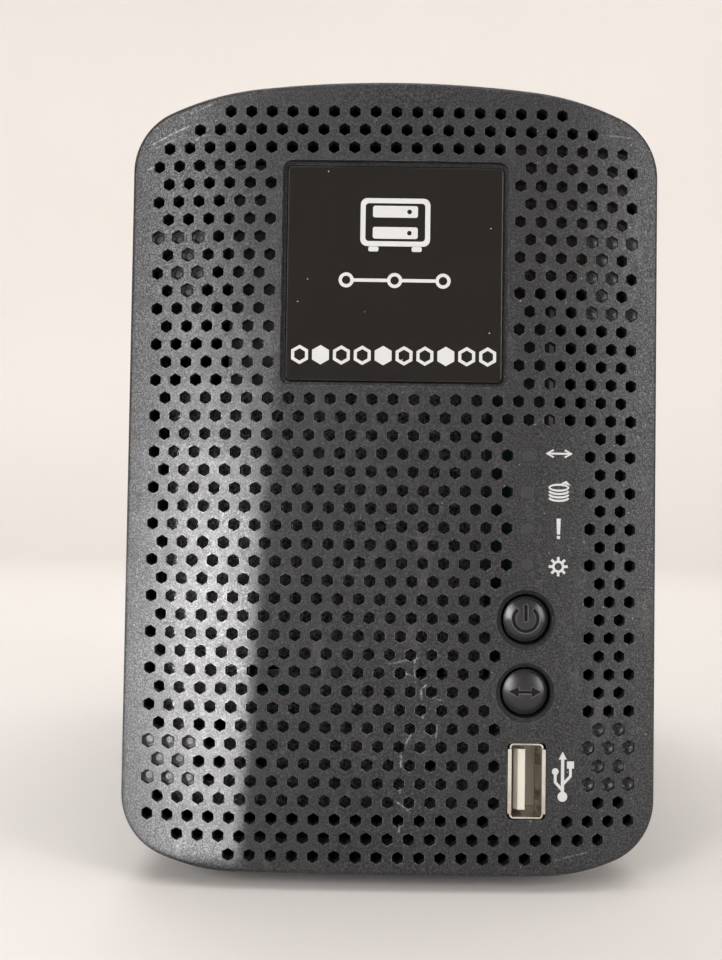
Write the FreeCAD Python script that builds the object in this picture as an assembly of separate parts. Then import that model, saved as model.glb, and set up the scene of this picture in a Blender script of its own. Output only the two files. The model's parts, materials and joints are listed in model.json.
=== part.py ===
import FreeCAD, Part
import os
from math import asin, cos, pi, radians, sin, sqrt

V = FreeCAD.Vector

# Two-bay network storage box. X runs across the front (right is +X), Y runs from the
# front to the rear, Z is up. The origin is on the table, under the middle of the box.
# All sizes are in millimetres.

# ---- casing ---------------------------------------------------------------------------
WIDTH = 95.0
DEPTH = 200.0
HEIGHT = 143.0
FOOT_HEIGHT = 3.0
FRONT = -DEPTH / 2
REAR = DEPTH / 2
SHELL_GAP = 0.3            # shadow line between casing pieces, and inset of the shells
SHELL_WALL = 2.0

# outline of the front view, as tangent arcs: radius and the slope where each arc ends
CROWN_RADIUS = 235.0
SHOULDER_RADIUS = 61.5
SHOULDER_END = radians(21.7)
CORNER_RADIUS = 11.0
SKID_RADIUS = 39.0
SKID_END = radians(20.5)

# ---- front bezel ----------------------------------------------------------------------
BEZEL_WALL = 2.4
BEZEL_SKIRT = 2.2
BEZEL_REAR = FRONT + 16.0
RIM_ROUND = 0.8
FACE_MIDDLE_RADIUS = 650.0  # the face bulges about a vertical axis, more so near its sides
FACE_SIDE_RADIUS = 95.0
FACE_SPLIT = 24.0

# honeycomb of the bezel: 42 rows, every second row moved by half a pitch
GRID_Z = 71.8              # height of the middle of the honeycomb
PITCH = 3.7
HALF_PITCH = PITCH / 2
ROW_STEP = PITCH * sqrt(3) / 2
ROWS = 42
HOLE_FLAT = 2.0            # flat to flat
POCKET_FLAT = 2.3
POCKET_DEPTH = 1.3
POCKET_DISH = 0.3
REACH = {0: 16, 1: 19, 40: 20, 41: 15}   # outermost half pitch in the short rows
POCKETS = {                # half pitches with a blind pocket, over the four screw bosses
    7: (-23, -21, -19, 19, 21, 23),
    8: (-20, 20),
    9: (-21, -19, 19, 21),
    10: (-20, 20),
    11: (19, 21, 23),
    34: (20, 22),
    35: (-23, -21, -19, 19, 21, 23),
    36: (-22, -20, 20, 22),
    37: (-23, -21, -19, 19, 21, 23),
}

# badge in the upper middle of the bezel
BADGE_Z = GRID_Z + 36.85
BADGE_SIDE = 38.7
BADGE_RECESS = 40.2
BADGE_DEPTH = 1.1
BADGE_THICK = 0.8

# column of controls at the right: indicator windows, two buttons and the USB socket
CONTROL_X = 13 * HALF_PITCH
WINDOW_ROWS = (19, 21, 23, 25)
WINDOW_FLAT = 2.1
POWER_ROW = 28
TRANSFER_ROW = 32
BUTTON_RADIUS = 3.95
BUTTON_HOLE = 4.53
BUTTON_DISH = 5.1
BUTTON_RIM_DEPTH = 2.0     # the edge of a cap lies this far behind the face
BUTTON_DOME = 0.95
BUTTON_TRAVEL = 0.6
USB_X = 24.25
USB_Z = GRID_Z - 52.2
USB_LONG = 13.1
USB_SHORT = 5.9
USB_WALL = 0.3
USB_DEPTH = 11.1
CONTACTS = (-3.5, -1.0, 1.0, 3.5)

# front circuit board behind the bezel
FRONT_BOARD_Y = FRONT + 12.0
BOARD_THICK = 1.6
BOSS_X = 21 * HALF_PITCH
BOSS_RADIUS = 4.2
BOSS_Z_LOW = GRID_Z - 49.0
BOSS_Z_HIGH = GRID_Z + 37.5

# filter foam behind the honeycomb; its sizes are given from the middle of the honeycomb
SCREEN_FRONT = FRONT + 5.4
SCREEN_THICK = 2.0
SCREEN_WIDE = ((-40.0, 17.0), (-58.0, 16.0))
SCREEN_CORNER = ((19.5, 42.0), (36.0, 61.0))
SCREEN_OPENINGS = (        # x from, x to, z from, z to
    (-25.0, -18.0, -38.0, -33.0),
    (-26.0, -21.0, -52.0, -48.0),
    (5.0, 10.0, -35.0, -32.0),
    (6.0, 9.0, -52.0, -45.0),
    (-36.0, -29.0, -54.0, -41.0),
)

# ---- steel cage -----------------------------------------------------------------------
SHEET = 1.0
CAGE_HALF = 43.5
CAGE_FRONT = BEZEL_REAR
CAGE_TOP = 132.4
CAGE_FOOT = 12.0
CAGE_BEND = 4.0
CAGE_VENT = 4.5            # width of the upright slots in both walls
CAGE_VENTS = 9
CAGE_VENT_PITCH = 15.0
TRAY_TOP = 29.2            # top of the plate that the drives stand on
TRAY_END = 64.0
TRAY_LIP = 7.0             # the tray's sides are folded up this far and riveted to the walls
POST_X = 38.5
POST_YS = (-55.0, 55.0)

# ---- 3.5 inch drives, standing on their long edge --------------------------------------
DRIVE_THICK = 26.1
DRIVE_LONG = 147.0
DRIVE_WIDE = 101.6
DRIVE_GAP = 10.0
DRIVE_Y = CAGE_FRONT + 1.0
DRIVE_Z = TRAY_TOP + 0.1
SPINDLE = (50.8, 50.8)     # along the drive, across the drive
PIVOT = (116.0, 66.0)
PLATTER_RADIUS = 47.5
ARM_LONG = 50.0
ARM_PARKED = radians(241.7)
DISC_LEVELS = (10.0, 14.0, 18.0)
ARM_LEVELS = (8.0, 12.0, 16.0, 20.0)

# ---- boards and rear wall ---------------------------------------------------------------
BOARD_Z = 9.0
BOARD_TOP = BOARD_Z + BOARD_THICK
BOARD_HALF = 34.5
BOARD_FRONT = -72.0
BOARD_REAR = 96.0
BACKPLANE_Y = 71.0
PANEL_OUT = REAR - 1.5     # outer face of the rear panel
PANEL_THICK = 1.5
PANEL_IN = PANEL_OUT - PANEL_THICK
LAN_X = -23.0
REAR_USB_XS = (-5.0, 11.0)
INLET_X = 25.0
RESET_X = 32.2
RESET_Z = BOARD_TOP + 3.0
RESET_TRAVEL = 0.4
LOCK_X = 21.5              # slot for a security cable
LOCK_Z = 35.0

# ---- fan ----------------------------------------------------------------------------------
FAN_SIDE = 80.0
FAN_THICK = 15.0
FAN_Z = 85.0
FAN_HOLE = 71.5 / 2        # half the spacing of the screw holes
FAN_REAR = PANEL_IN
FAN_FRONT = FAN_REAR - FAN_THICK
FAN_BORE = 38.5
BLADE_RADIUS = 37.4
HUB_RADIUS = 16.0
BLADES = 7
PLUG_X = 31.6              # plug of the fan lead, on the main board
PLUG_TOP = BOARD_TOP + 7.8


# ---- small helpers ------------------------------------------------------------------------
def box(x, y, z):
    """Block between the two values given for each axis."""
    return Part.makeBox(x[1] - x[0], y[1] - y[0], z[1] - z[0], V(x[0], y[0], z[0]))


def rod(radius, start, length, axis):
    return Part.makeCylinder(radius, length, V(*start), V(*axis))


def y_rod(radius, x, z, y0, y1):
    return rod(radius, (x, y0, z), y1 - y0, (0, 1, 0))


def z_rod(radius, x, y, z0, z1):
    return rod(radius, (x, y, z0), z1 - z0, (0, 0, 1))


def tube(outer, inner, x, z, y0, y1):
    return y_rod(outer, x, z, y0, y1).cut(y_rod(inner, x, z, y0 - 1, y1 + 1))


def fuse(shapes):
    """One solid from touching shapes, with their shared faces merged where that stays valid."""
    shapes = list(shapes)
    if len(shapes) == 1:
        return shapes[0]
    body = shapes[0].multiFuse(shapes[1:])
    merged = body.removeSplitter()
    return merged if merged.isValid() else body


def cut(shape, tools):
    return shape.cut(Part.makeCompound(list(tools)))


def group(shapes):
    return Part.makeCompound(list(shapes))


def moved(shape, x=0.0, y=0.0, z=0.0):
    copy = shape.copy()
    copy.translate(V(x, y, z))
    return copy


def arc(start, middle, end):
    return Part.Arc(V(*start), V(*middle), V(*end)).toShape()


def line(start, end):
    return Part.makeLine(V(*start), V(*end))


def prism(wire, y0, y1):
    """Solid between Y = y0 and Y = y1 from a closed wire that lies at Y = y0."""
    return Part.Face(wire).extrude(V(0, y1 - y0, 0))


def polygon(points):
    points = [V(*point) for point in points]
    return Part.makePolygon(points + points[:1])


def hexagon(flat, x, y, z):
    """Pointy-top hexagon in the plane Y = y."""
    radius = flat / sqrt(3)
    corners = [radians(90 + 60 * i) for i in range(6)]
    return polygon([(x + radius * cos(a), y, z + radius * sin(a)) for a in corners])


def rounded_block(x, y, z, radius):
    """Block with its four edges along Y rounded."""
    block = box(x, y, z)
    edges = [e for e in block.Edges if abs(e.tangentAt(e.FirstParameter).y) > 0.9]
    return block.makeFillet(radius, edges)


# ---- casing outline -------------------------------------------------------------------------
def outline_arcs():
    """Right half, top to bottom: centre x and z, radius, first and last slope."""
    corner_x = WIDTH / 2 - CORNER_RADIUS
    shoulder_x = corner_x + (CORNER_RADIUS - SHOULDER_RADIUS) * sin(SHOULDER_END)
    crown_end = asin(shoulder_x / (CROWN_RADIUS - SHOULDER_RADIUS))
    crown_z = HEIGHT - CROWN_RADIUS
    shoulder_z = crown_z + (CROWN_RADIUS - SHOULDER_RADIUS) * cos(crown_end)
    corner_z = shoulder_z + (SHOULDER_RADIUS - CORNER_RADIUS) * cos(SHOULDER_END)
    skid_x = corner_x - (SKID_RADIUS - CORNER_RADIUS) * sin(SKID_END)
    skid_z = FOOT_HEIGHT + SKID_RADIUS
    low_z = skid_z - (SKID_RADIUS - CORNER_RADIUS) * cos(SKID_END)
    return [
        (0.0, crown_z, CROWN_RADIUS, -crown_end, crown_end),
        (shoulder_x, shoulder_z, SHOULDER_RADIUS, crown_end, SHOULDER_END),
        (corner_x, corner_z, CORNER_RADIUS, SHOULDER_END, pi / 2),
        (corner_x, low_z, CORNER_RADIUS, pi / 2, pi - SKID_END),
        (skid_x, skid_z, SKID_RADIUS, pi - SKID_END, pi),
    ]


SIDE_START = outline_arcs()[3][1]      # height where the straight sides begin


def outline(inset, y):
    """Closed outline of the casing in the plane Y = y, moved inward by inset."""
    def point(centre_x, centre_z, radius, slope, side):
        reach = radius - inset
        return (side * (centre_x + reach * sin(slope)), y, centre_z + reach * cos(slope))

    def run(side, pieces):
        edges = []
        for centre_x, centre_z, radius, first, last in pieces:
            slopes = (first, (first + last) / 2, last)
            ends = [point(centre_x, centre_z, radius, slope, side) for slope in slopes]
            edges.append(arc(*ends))
        return edges

    arcs = outline_arcs()
    edges = run(1, arcs) + run(-1, arcs[1:])
    for side in (1, -1):
        upper = point(*arcs[2][:3], pi / 2, side)
        lower = point(*arcs[3][:3], pi / 2, side)
        edges.append(line(upper, lower))
    edges.append(line(point(*arcs[4][:3], pi, 1), point(*arcs[4][:3], pi, -1)))
    return Part.Wire(Part.__sortEdges__(edges))


def casing_prism(inset, y0, y1):
    return prism(outline(inset, y0), y0, y1)


def face_y(x):
    """Y of the front face at x."""
    x = abs(x)
    if x <= FACE_SPLIT:
        return FRONT + FACE_MIDDLE_RADIUS - sqrt(FACE_MIDDLE_RADIUS ** 2 - x ** 2)
    slope = asin(FACE_SPLIT / FACE_MIDDLE_RADIUS)
    centre_x = (FACE_MIDDLE_RADIUS - FACE_SIDE_RADIUS) * sin(slope)
    centre_y = FRONT + FACE_MIDDLE_RADIUS - (FACE_MIDDLE_RADIUS - FACE_SIDE_RADIUS) * cos(slope)
    return centre_y - sqrt(FACE_SIDE_RADIUS ** 2 - (x - centre_x) ** 2)


def behind_face(offset, y_back):
    """Everything behind the curved front face, which is moved back by offset."""
    far = WIDTH / 2 + 3
    middle = (FACE_SPLIT + far) / 2

    def at(x):
        return (x, face_y(x) + offset, -1.0)

    edges = [
        arc(at(-far), at(-middle), at(-FACE_SPLIT)),
        arc(at(-FACE_SPLIT), at(0.0), at(FACE_SPLIT)),
        arc(at(FACE_SPLIT), at(middle), at(far)),
        line(at(far), (far, y_back, -1.0)),
        line((far, y_back, -1.0), (-far, y_back, -1.0)),
        line((-far, y_back, -1.0), at(-far)),
    ]
    return Part.Face(Part.Wire(edges)).extrude(V(0, 0, HEIGHT + 2))


# ---- honeycomb ------------------------------------------------------------------------------
def row_z(row):
    return GRID_Z + ((ROWS - 1) / 2 - row) * ROW_STEP


POWER_Z = row_z(POWER_ROW)
TRANSFER_Z = row_z(TRANSFER_ROW)


def is_plain(x, z):
    """Places of the honeycomb that stay closed, for the badge and the controls."""
    on_badge = abs(x) < 22.0 and abs(z - BADGE_Z) < 21.0
    on_column = 21.0 < x < 34.5 and -57.0 < z - GRID_Z < 9.0
    on_button = min(abs(complex(x - CONTROL_X, z - mid)) for mid in (POWER_Z, TRANSFER_Z)) < 6.0
    on_socket = abs(x - USB_X) < 4.2 and abs(z - USB_Z) < 8.0
    return on_badge or on_column or on_button or on_socket


def honeycomb():
    """Lists of the places of open holes and of blind pockets."""
    holes = []
    pockets = []
    for row in range(ROWS):
        reach = REACH.get(row, 23 if row % 2 else 22)
        for step in range(-reach, reach + 1, 2):
            x = step * HALF_PITCH
            z = row_z(row)
            if step in POCKETS.get(row, ()):
                pockets.append((x, z))
            elif not is_plain(x, z):
                holes.append((x, z))
    return holes, pockets


def pocket(x, z):
    """Blind hexagonal pocket with a dished floor."""
    mouth = face_y(x)
    floor = mouth + POCKET_DEPTH
    body = prism(hexagon(POCKET_FLAT, x, mouth - 2, z), mouth - 2, floor)
    radius = POCKET_FLAT / 2
    dish = Part.makeCone(radius - 0.05, radius / 2, POCKET_DISH, V(x, floor, z), V(0, 1, 0))
    return body.fuse(dish)


# ---- front ------------------------------------------------------------------------------------
def bezel_blank():
    """Curved shell of the bezel, with a tongue that slips inside the cover."""
    outer = casing_prism(0.0, FRONT - 1, BEZEL_REAR).common(behind_face(0.0, 0.0))
    rim = [e for e in outer.Edges if e.BoundBox.YMax < FRONT + 8.0 and is_rim(e)]
    outer = outer.makeFillet(RIM_ROUND, rim)
    inner = casing_prism(BEZEL_SKIRT, FRONT - 2, BEZEL_REAR + 1)
    shell = outer.cut(inner.common(behind_face(BEZEL_WALL, 20.0)))
    lip = SHELL_GAP + SHELL_WALL + 0.2
    tongue = casing_prism(BEZEL_SKIRT - 0.4, BEZEL_REAR - 5, BEZEL_REAR + 3)
    tongue = tongue.cut(casing_prism(lip + 1.0, BEZEL_REAR - 6, BEZEL_REAR + 4))
    tongue = tongue.cut(
        casing_prism(0.0, BEZEL_REAR, BEZEL_REAR + 4).cut(
            casing_prism(lip, BEZEL_REAR - 1, BEZEL_REAR + 5)))
    return shell.fuse(tongue).removeSplitter()


def is_rim(edge):
    """Edges of the front face that lie on the outline."""
    middle = edge.valueAt((edge.FirstParameter + edge.LastParameter) / 2)
    inside = casing_prism(0.3, FRONT - 2, BEZEL_REAR)
    return not inside.isInside(middle, 0.01, True)


def button_well(z):
    """Dished hole that a round button stands in."""
    face = face_y(CONTROL_X)
    hole = y_rod(BUTTON_HOLE, CONTROL_X, z, face - 2, face + 8)
    dish = Part.makeCone(BUTTON_DISH + 0.35, BUTTON_HOLE - 0.01, 1.3,
                         V(CONTROL_X, face - 0.25, z), V(0, 1, 0))
    return hole.fuse(dish)


def button_collar(z):
    """Guide tube behind the bezel around a button."""
    face = face_y(CONTROL_X)
    return tube(BUTTON_HOLE + 1.1, BUTTON_HOLE, CONTROL_X, z, face + 1.9, face + 4.6)


def boss_places():
    return [(side * BOSS_X, z) for side in (-1, 1) for z in (BOSS_Z_LOW, BOSS_Z_HIGH)]


def front_board_screw_places():
    return [(31.0, 79.5), (31.5, 55.0), (31.0, 31.0)]


def front_bezel():
    blank = bezel_blank()
    slab = behind_face(1.9, 0.0)
    bosses = [y_rod(BOSS_RADIUS, x, z, FRONT, CAGE_FRONT - 0.1) for x, z in boss_places()]
    bosses += [y_rod(2.2, x, z, FRONT, FRONT_BOARD_Y - 0.1)
               for x, z in front_board_screw_places()]
    collars = [button_collar(z) for z in (POWER_Z, TRANSFER_Z)]
    body = fuse([blank] + [boss.common(slab) for boss in bosses] + collars)
    body = cut(body, [y_rod(1.2, x, z, FRONT + 6.0, 0.0) for x, z in boss_places()])
    body = cut(body, [y_rod(0.8, x, z, FRONT + 6.0, 0.0)
                      for x, z in front_board_screw_places()])
    half = BADGE_RECESS / 2
    recess = rounded_block((-half, half), (FRONT - 2, FRONT + BADGE_DEPTH + 0.3),
                           (BADGE_Z - half, BADGE_Z + half), 1.8)
    tools = [button_well(z) for z in (POWER_Z, TRANSFER_Z)]
    half_x = USB_SHORT / 2 + 0.5
    half_z = USB_LONG / 2 + 0.15
    tools.append(rounded_block((USB_X - half_x, USB_X + half_x), (FRONT - 2, FRONT + 6),
                               (USB_Z - half_z, USB_Z + half_z), 0.9))
    tools += [prism(hexagon(WINDOW_FLAT + 0.1, CONTROL_X, FRONT - 2, row_z(row)),
                    FRONT - 2, FRONT + 8) for row in WINDOW_ROWS]
    holes, pockets = honeycomb()
    tools += [prism(hexagon(HOLE_FLAT, x, FRONT - 2, z), FRONT - 2, FRONT + 7.0)
              for x, z in holes]
    tools += [pocket(x, z) for x, z in pockets]
    return cut(body.cut(recess), tools)


def badge_plate():
    half = BADGE_SIDE / 2
    floor = FRONT + BADGE_DEPTH + 0.3
    plate = rounded_block((-half, half), (floor - BADGE_THICK, floor),
                          (BADGE_Z - half, BADGE_Z + half), 1.0)
    edges = [e for e in plate.Edges if e.BoundBox.YMax < floor - BADGE_THICK + 0.01]
    return plate.makeChamfer(0.3, edges)


def power_symbol(y0, y1):
    """Broken ring and bar, as a cutting tool."""
    ring = tube(2.5, 1.8, 0, 0, y0, y1)
    gap = prism(polygon([(0, y0 - 1, 0), (-3.2, y0 - 1, 4.0), (3.2, y0 - 1, 4.0)]),
                y0 - 1, y1 + 1)
    bar = rounded_block((-0.36, 0.36), (y0, y1), (-0.45, 2.65), 0.3)
    return ring.cut(gap).fuse(bar)


def transfer_symbol(y0, y1):
    """Double-headed arrow, as a cutting tool."""
    tip = 2.87
    root = tip - 1.75
    points = [(-tip, 0.0), (-root, 0.98), (-root, 0.3), (root, 0.3), (root, 0.98),
              (tip, 0.0), (root, -0.98), (root, -0.3), (-root, -0.3), (-root, -0.98)]
    return prism(polygon([(x, y0, z) for x, z in points]), y0, y1)


def button(z, symbol):
    """Domed cap with an engraved symbol, a skirt, a stop flange and a stem."""
    rim = face_y(CONTROL_X) + BUTTON_RIM_DEPTH
    back = rim + 3.6
    skirt = y_rod(BUTTON_RADIUS, CONTROL_X, z, rim, back)
    sphere_radius = (BUTTON_RADIUS ** 2 + BUTTON_DOME ** 2) / (2 * BUTTON_DOME)
    sphere = Part.makeSphere(sphere_radius, V(CONTROL_X, rim - BUTTON_DOME + sphere_radius, z))
    dome = y_rod(BUTTON_RADIUS, CONTROL_X, z, rim - 2, rim).common(sphere)
    flange = y_rod(BUTTON_RADIUS + 1.3, CONTROL_X, z, back - 0.7, back)
    body = fuse([skirt, dome, flange, y_rod(1.6, CONTROL_X, z, back - 0.5, back + 0.6)])
    engraving = symbol(rim - BUTTON_DOME - 1, rim + 0.6)
    engraving = moved(engraving, CONTROL_X, 0, z)
    floor = Part.makeSphere(sphere_radius - 0.3,
                            V(CONTROL_X, rim - BUTTON_DOME + sphere_radius, z))
    return body.cut(engraving.cut(floor))


def button_back():
    return face_y(CONTROL_X) + BUTTON_RIM_DEPTH + 3.6 + 0.6


def tact_switches():
    """Bodies of the two switches, each with a bore for its plunger."""
    bodies = []
    for z in (POWER_Z, TRANSFER_Z):
        body = box((CONTROL_X - 3, CONTROL_X + 3), (FRONT_BOARD_Y - 3.5, FRONT_BOARD_Y),
                   (z - 3, z + 3))
        bodies.append(body.cut(y_rod(1.9, CONTROL_X, z, FRONT_BOARD_Y - 4, FRONT_BOARD_Y - 1)))
    return group(bodies)


def switch_plunger(z):
    return y_rod(1.75, CONTROL_X, z, button_back(), FRONT_BOARD_Y - 1.0 - BUTTON_TRAVEL - 0.2)


def indicator_windows():
    """Light pipes with hexagonal ends that lie flush in the bezel."""
    pipes = []
    for row in WINDOW_ROWS:
        back = FRONT_BOARD_Y - 1.1
        pipe = prism(hexagon(WINDOW_FLAT, CONTROL_X, FRONT - 1, row_z(row)), FRONT - 1, back)
        pipes.append(pipe.common(behind_face(0.0, back)))
    return group(pipes)


def indicator_leds():
    return group(box((CONTROL_X - 0.8, CONTROL_X + 0.8), (FRONT_BOARD_Y - 0.7, FRONT_BOARD_Y),
                     (row_z(row) - 0.5, row_z(row) + 0.5)) for row in WINDOW_ROWS)


def dust_screens():
    """Filter foam behind the honeycomb: a wide piece left of the controls, one at the upper right."""
    deep = (SCREEN_FRONT, SCREEN_FRONT + SCREEN_THICK)
    inside = casing_prism(BEZEL_SKIRT + 0.6, deep[0] - 1, deep[1] + 1)

    def sheet(x, z):
        return box(x, deep, (GRID_Z + z[0], GRID_Z + z[1])).common(inside)

    through = (deep[0] - 1, deep[1] + 1)
    bosses = [y_rod(BOSS_RADIUS + 0.5, x, z, *through) for x, z in boss_places()]
    openings = [box((x0, x1), through, (GRID_Z + z0, GRID_Z + z1))
                for x0, x1, z0, z1 in SCREEN_OPENINGS]
    return group([cut(sheet(*SCREEN_WIDE), bosses + openings),
                  cut(sheet(*SCREEN_CORNER), bosses)])


def front_board():
    """L-shaped board: a column behind the controls and a wide foot."""
    deep = (FRONT_BOARD_Y, FRONT_BOARD_Y + BOARD_THICK)
    column = box((16.0, 34.0), deep, (13.6, 83.0))
    foot = box((-27.5, 17.0), deep, (15.0, 37.0))
    board = fuse([column, foot])
    return cut(board, [y_rod(1.3, x, z, deep[0] - 1, deep[1] + 1)
                       for x, z in front_board_screw_places()])


def pan_screw(head, shank, head_high, shank_long):
    """Cross-head screw at the origin: head towards -Y, shank towards +Y."""
    top = y_rod(head, 0, 0, -head_high, 0)
    edges = [e for e in top.Edges if e.BoundBox.YMax < -head_high + 0.01]
    top = top.makeFillet(head_high * 0.45, edges)
    body = top.fuse(y_rod(shank, 0, 0, 0, shank_long))
    slot = head * 0.62
    width = head * 0.13
    cross = box((-slot, slot), (-head_high - 1, -head_high * 0.45), (-width, width))
    cross = cross.fuse(box((-width, width), (-head_high - 1, -head_high * 0.45), (-slot, slot)))
    return body.cut(cross)


def facing(shape, direction):
    """Turns a screw whose head faces -Y so that its head faces the direction given."""
    turns = {"front": (V(0, 0, 1), 0), "rear": (V(0, 0, 1), 180),
             "up": (V(1, 0, 0), -90), "down": (V(1, 0, 0), 90),
             "left": (V(0, 0, 1), -90), "right": (V(0, 0, 1), 90)}
    axis, angle = turns[direction]
    copy = shape.copy()
    copy.rotate(V(0, 0, 0), axis, angle)
    return copy


def front_board_screws():
    screw = facing(pan_screw(2.2, 0.8, 1.2, 5.0), "rear")
    return [moved(screw, x, FRONT_BOARD_Y + BOARD_THICK, z)
            for x, z in front_board_screw_places()]


def bezel_screws():
    screw = facing(pan_screw(2.8, 1.2, 1.6, 7.0), "rear")
    return [moved(screw, x, CAGE_FRONT + SHEET, z) for x, z in boss_places()]


# ---- USB sockets: built with the mouth at the origin facing -Y and the long side along Z -----
def usb_shell():
    """Folded steel shell with flared lips and four spring fingers."""
    half_x = USB_SHORT / 2
    half_z = USB_LONG / 2
    outer = rounded_block((-half_x, half_x), (0, USB_DEPTH), (-half_z, half_z), 0.7)
    inner = rounded_block((-half_x + USB_WALL, half_x - USB_WALL), (-1, USB_DEPTH + 1),
                          (-half_z + USB_WALL, half_z - USB_WALL), 0.45)
    shell = outer.cut(inner)
    pieces = [shell]
    for side in (-1, 1):
        wall = side * half_x
        lip = [(wall - side * USB_WALL, 0, -5.6), (wall - side * USB_WALL, -0.45, -5.6),
               (wall + side * 0.35, -0.45, -5.6), (wall + side * 0.4, -0.1, -5.6),
               (wall, 0.8, -5.6)]
        pieces.append(Part.Face(polygon(lip)).extrude(V(0, 0, 11.2)))
        for z in (-3.1, 3.1):
            inside = wall - side * USB_WALL
            finger = [(inside + side * 0.1, 2.0, z - 0.9), (inside - side * 0.55, 4.6, z - 0.9),
                      (inside - side * 0.35, 5.6, z - 0.9), (inside - side * 0.3, 4.6, z - 0.9),
                      (inside + side * 0.1, 3.0, z - 0.9)]
            pieces.append(Part.Face(polygon(finger)).extrude(V(0, 0, 1.8)))
    return fuse(pieces)


def usb_insert():
    """Moulded insert: a base that fills the shell's back, and the tongue."""
    half_x = USB_SHORT / 2 - USB_WALL - 0.02
    half_z = USB_LONG / 2 - USB_WALL - 0.02
    base = rounded_block((-half_x, half_x), (8.4, USB_DEPTH), (-half_z, half_z), 0.4)
    tongue = box((-1.95, -0.05), (1.4, 8.8), (-5.3, 5.3))
    chamfer = [(-2.0, 1.3, -6), (-1.25, 1.3, -6), (-2.0, 2.4, -6)]
    tongue = tongue.cut(Part.Face(polygon(chamfer)).extrude(V(0, 0, 12)))
    body = base.fuse(tongue)
    slots = [box((-0.35, 0.2), (1.9, 8.6), (z - 0.55, z + 0.55)) for z in CONTACTS]
    return cut(body, slots)


def usb_contacts():
    return group(box((-0.34, -0.14), (2.1, 8.3), (z - 0.5, z + 0.5)) for z in CONTACTS)


def place_usb(shape):
    """The upright socket in the bezel, and two lying on the main board, mouths to the rear."""
    front = moved(shape, USB_X, face_y(USB_X) + 0.35, USB_Z)
    flat = shape.copy()
    flat.rotate(V(0, 0, 0), V(0, 1, 0), 90)
    flat.rotate(V(0, 0, 0), V(0, 0, 1), 180)
    height = BOARD_TOP + USB_SHORT / 2 + 0.05
    return group([front] + [moved(flat, x, PANEL_OUT, height) for x in REAR_USB_XS])


# ---- casing --------------------------------------------------------------------------------------
def shell_ring():
    start = BEZEL_REAR + SHELL_GAP
    ring = casing_prism(SHELL_GAP, start, REAR)
    return ring.cut(casing_prism(SHELL_GAP + SHELL_WALL, start - 1, REAR + 1))


def top_cover():
    """Upper shell: crown and both sides, with two lugs for the rear screws."""
    cover = shell_ring().common(box((-60, 60), (-110, 110), (SIDE_START + SHELL_GAP, 160)))
    inside = casing_prism(SHELL_GAP + SHELL_WALL - 0.2, -90, REAR)
    lugs = [box((side * 31.0 - 4.0, side * 31.0 + 4.0), (PANEL_IN - 6.0, PANEL_IN - 0.1),
                (129.0, 142.0)).common(inside) for side in (-1, 1)]
    cover = fuse([cover] + lugs)
    return cut(cover, [y_rod(1.2, side * 31.0, 132.6, PANEL_IN - 5.0, PANEL_IN + 1)
                       for side in (-1, 1)])


def foot_places():
    return [(x, y) for x in (-21.0, 21.0) for y in (-78.0, 78.0)]


def base_shell():
    """Lower shell with vent slots, foot seats, board posts and cage posts."""
    ring = shell_ring().common(box((-60, 60), (-110, 110), (-1, SIDE_START)))
    inside = casing_prism(SHELL_GAP + 0.6, -90, 99)
    floor = FOOT_HEIGHT + SHELL_GAP + 1.0
    posts = [z_rod(3.0, side * POST_X, y, floor, CAGE_FOOT).common(inside)
             for side in (-1, 1) for y in POST_YS]
    posts += [z_rod(2.8, x, y, floor, BOARD_Z) for x, y in board_screw_places()]
    rail = SIDE_START + 1.4
    for side in (-1, 1):
        wall = side * (WIDTH / 2 - SHELL_GAP - SHELL_WALL)
        xs = sorted((wall, wall - side * 0.9))
        posts.append(box(xs, (-80, PANEL_IN - 1), (SIDE_START - 3.5, rail)))
        foot = sorted((wall + side * 0.4, wall - side * 0.9))
        posts.append(box(foot, (-80, PANEL_IN - 1), (SIDE_START - 3.5, SIDE_START - 0.2)))
    base = fuse([ring] + posts)
    tools = [z_rod(1.2, side * POST_X, y, 0, 20) for side in (-1, 1) for y in POST_YS]
    tools += [z_rod(2.9, side * POST_X, y, 0, 8.0) for side in (-1, 1) for y in POST_YS]
    tools += [z_rod(1.0, x, y, floor + 0.8, 20) for x, y in board_screw_places()]
    tools += [z_rod(5.55, x, y, 0, FOOT_HEIGHT + SHELL_GAP + 0.6) for x, y in foot_places()]
    for i in range(14):
        y = -52.0 + 8.0 * i
        for x in (-12.0, 12.0):
            slot = box((x - 8, x + 8), (y - 1.2, y + 1.2), (0, 6))
            ends = [z_rod(1.2, x + end, y, 0, 6) for end in (-8, 8)]
            tools.append(fuse([slot] + ends))
    return cut(base, tools)


def rubber_feet():
    feet = []
    for x, y in foot_places():
        foot = z_rod(5.45, x, y, 0, FOOT_HEIGHT + SHELL_GAP + 0.6)
        low = [e for e in foot.Edges if e.BoundBox.ZMax < 0.01]
        feet.append(foot.makeFillet(0.8, low))
    return group(feet)


def folded_block(half, y, low, high, bend):
    """Block across the middle whose two upper edges are rounded."""
    block = box((-half, half), y, (low, high))
    edges = [e for e in block.Edges
             if abs(e.tangentAt(e.FirstParameter).y) > 0.9 and e.BoundBox.ZMin > high - 0.1]
    return block.makeFillet(bend, edges)


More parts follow.
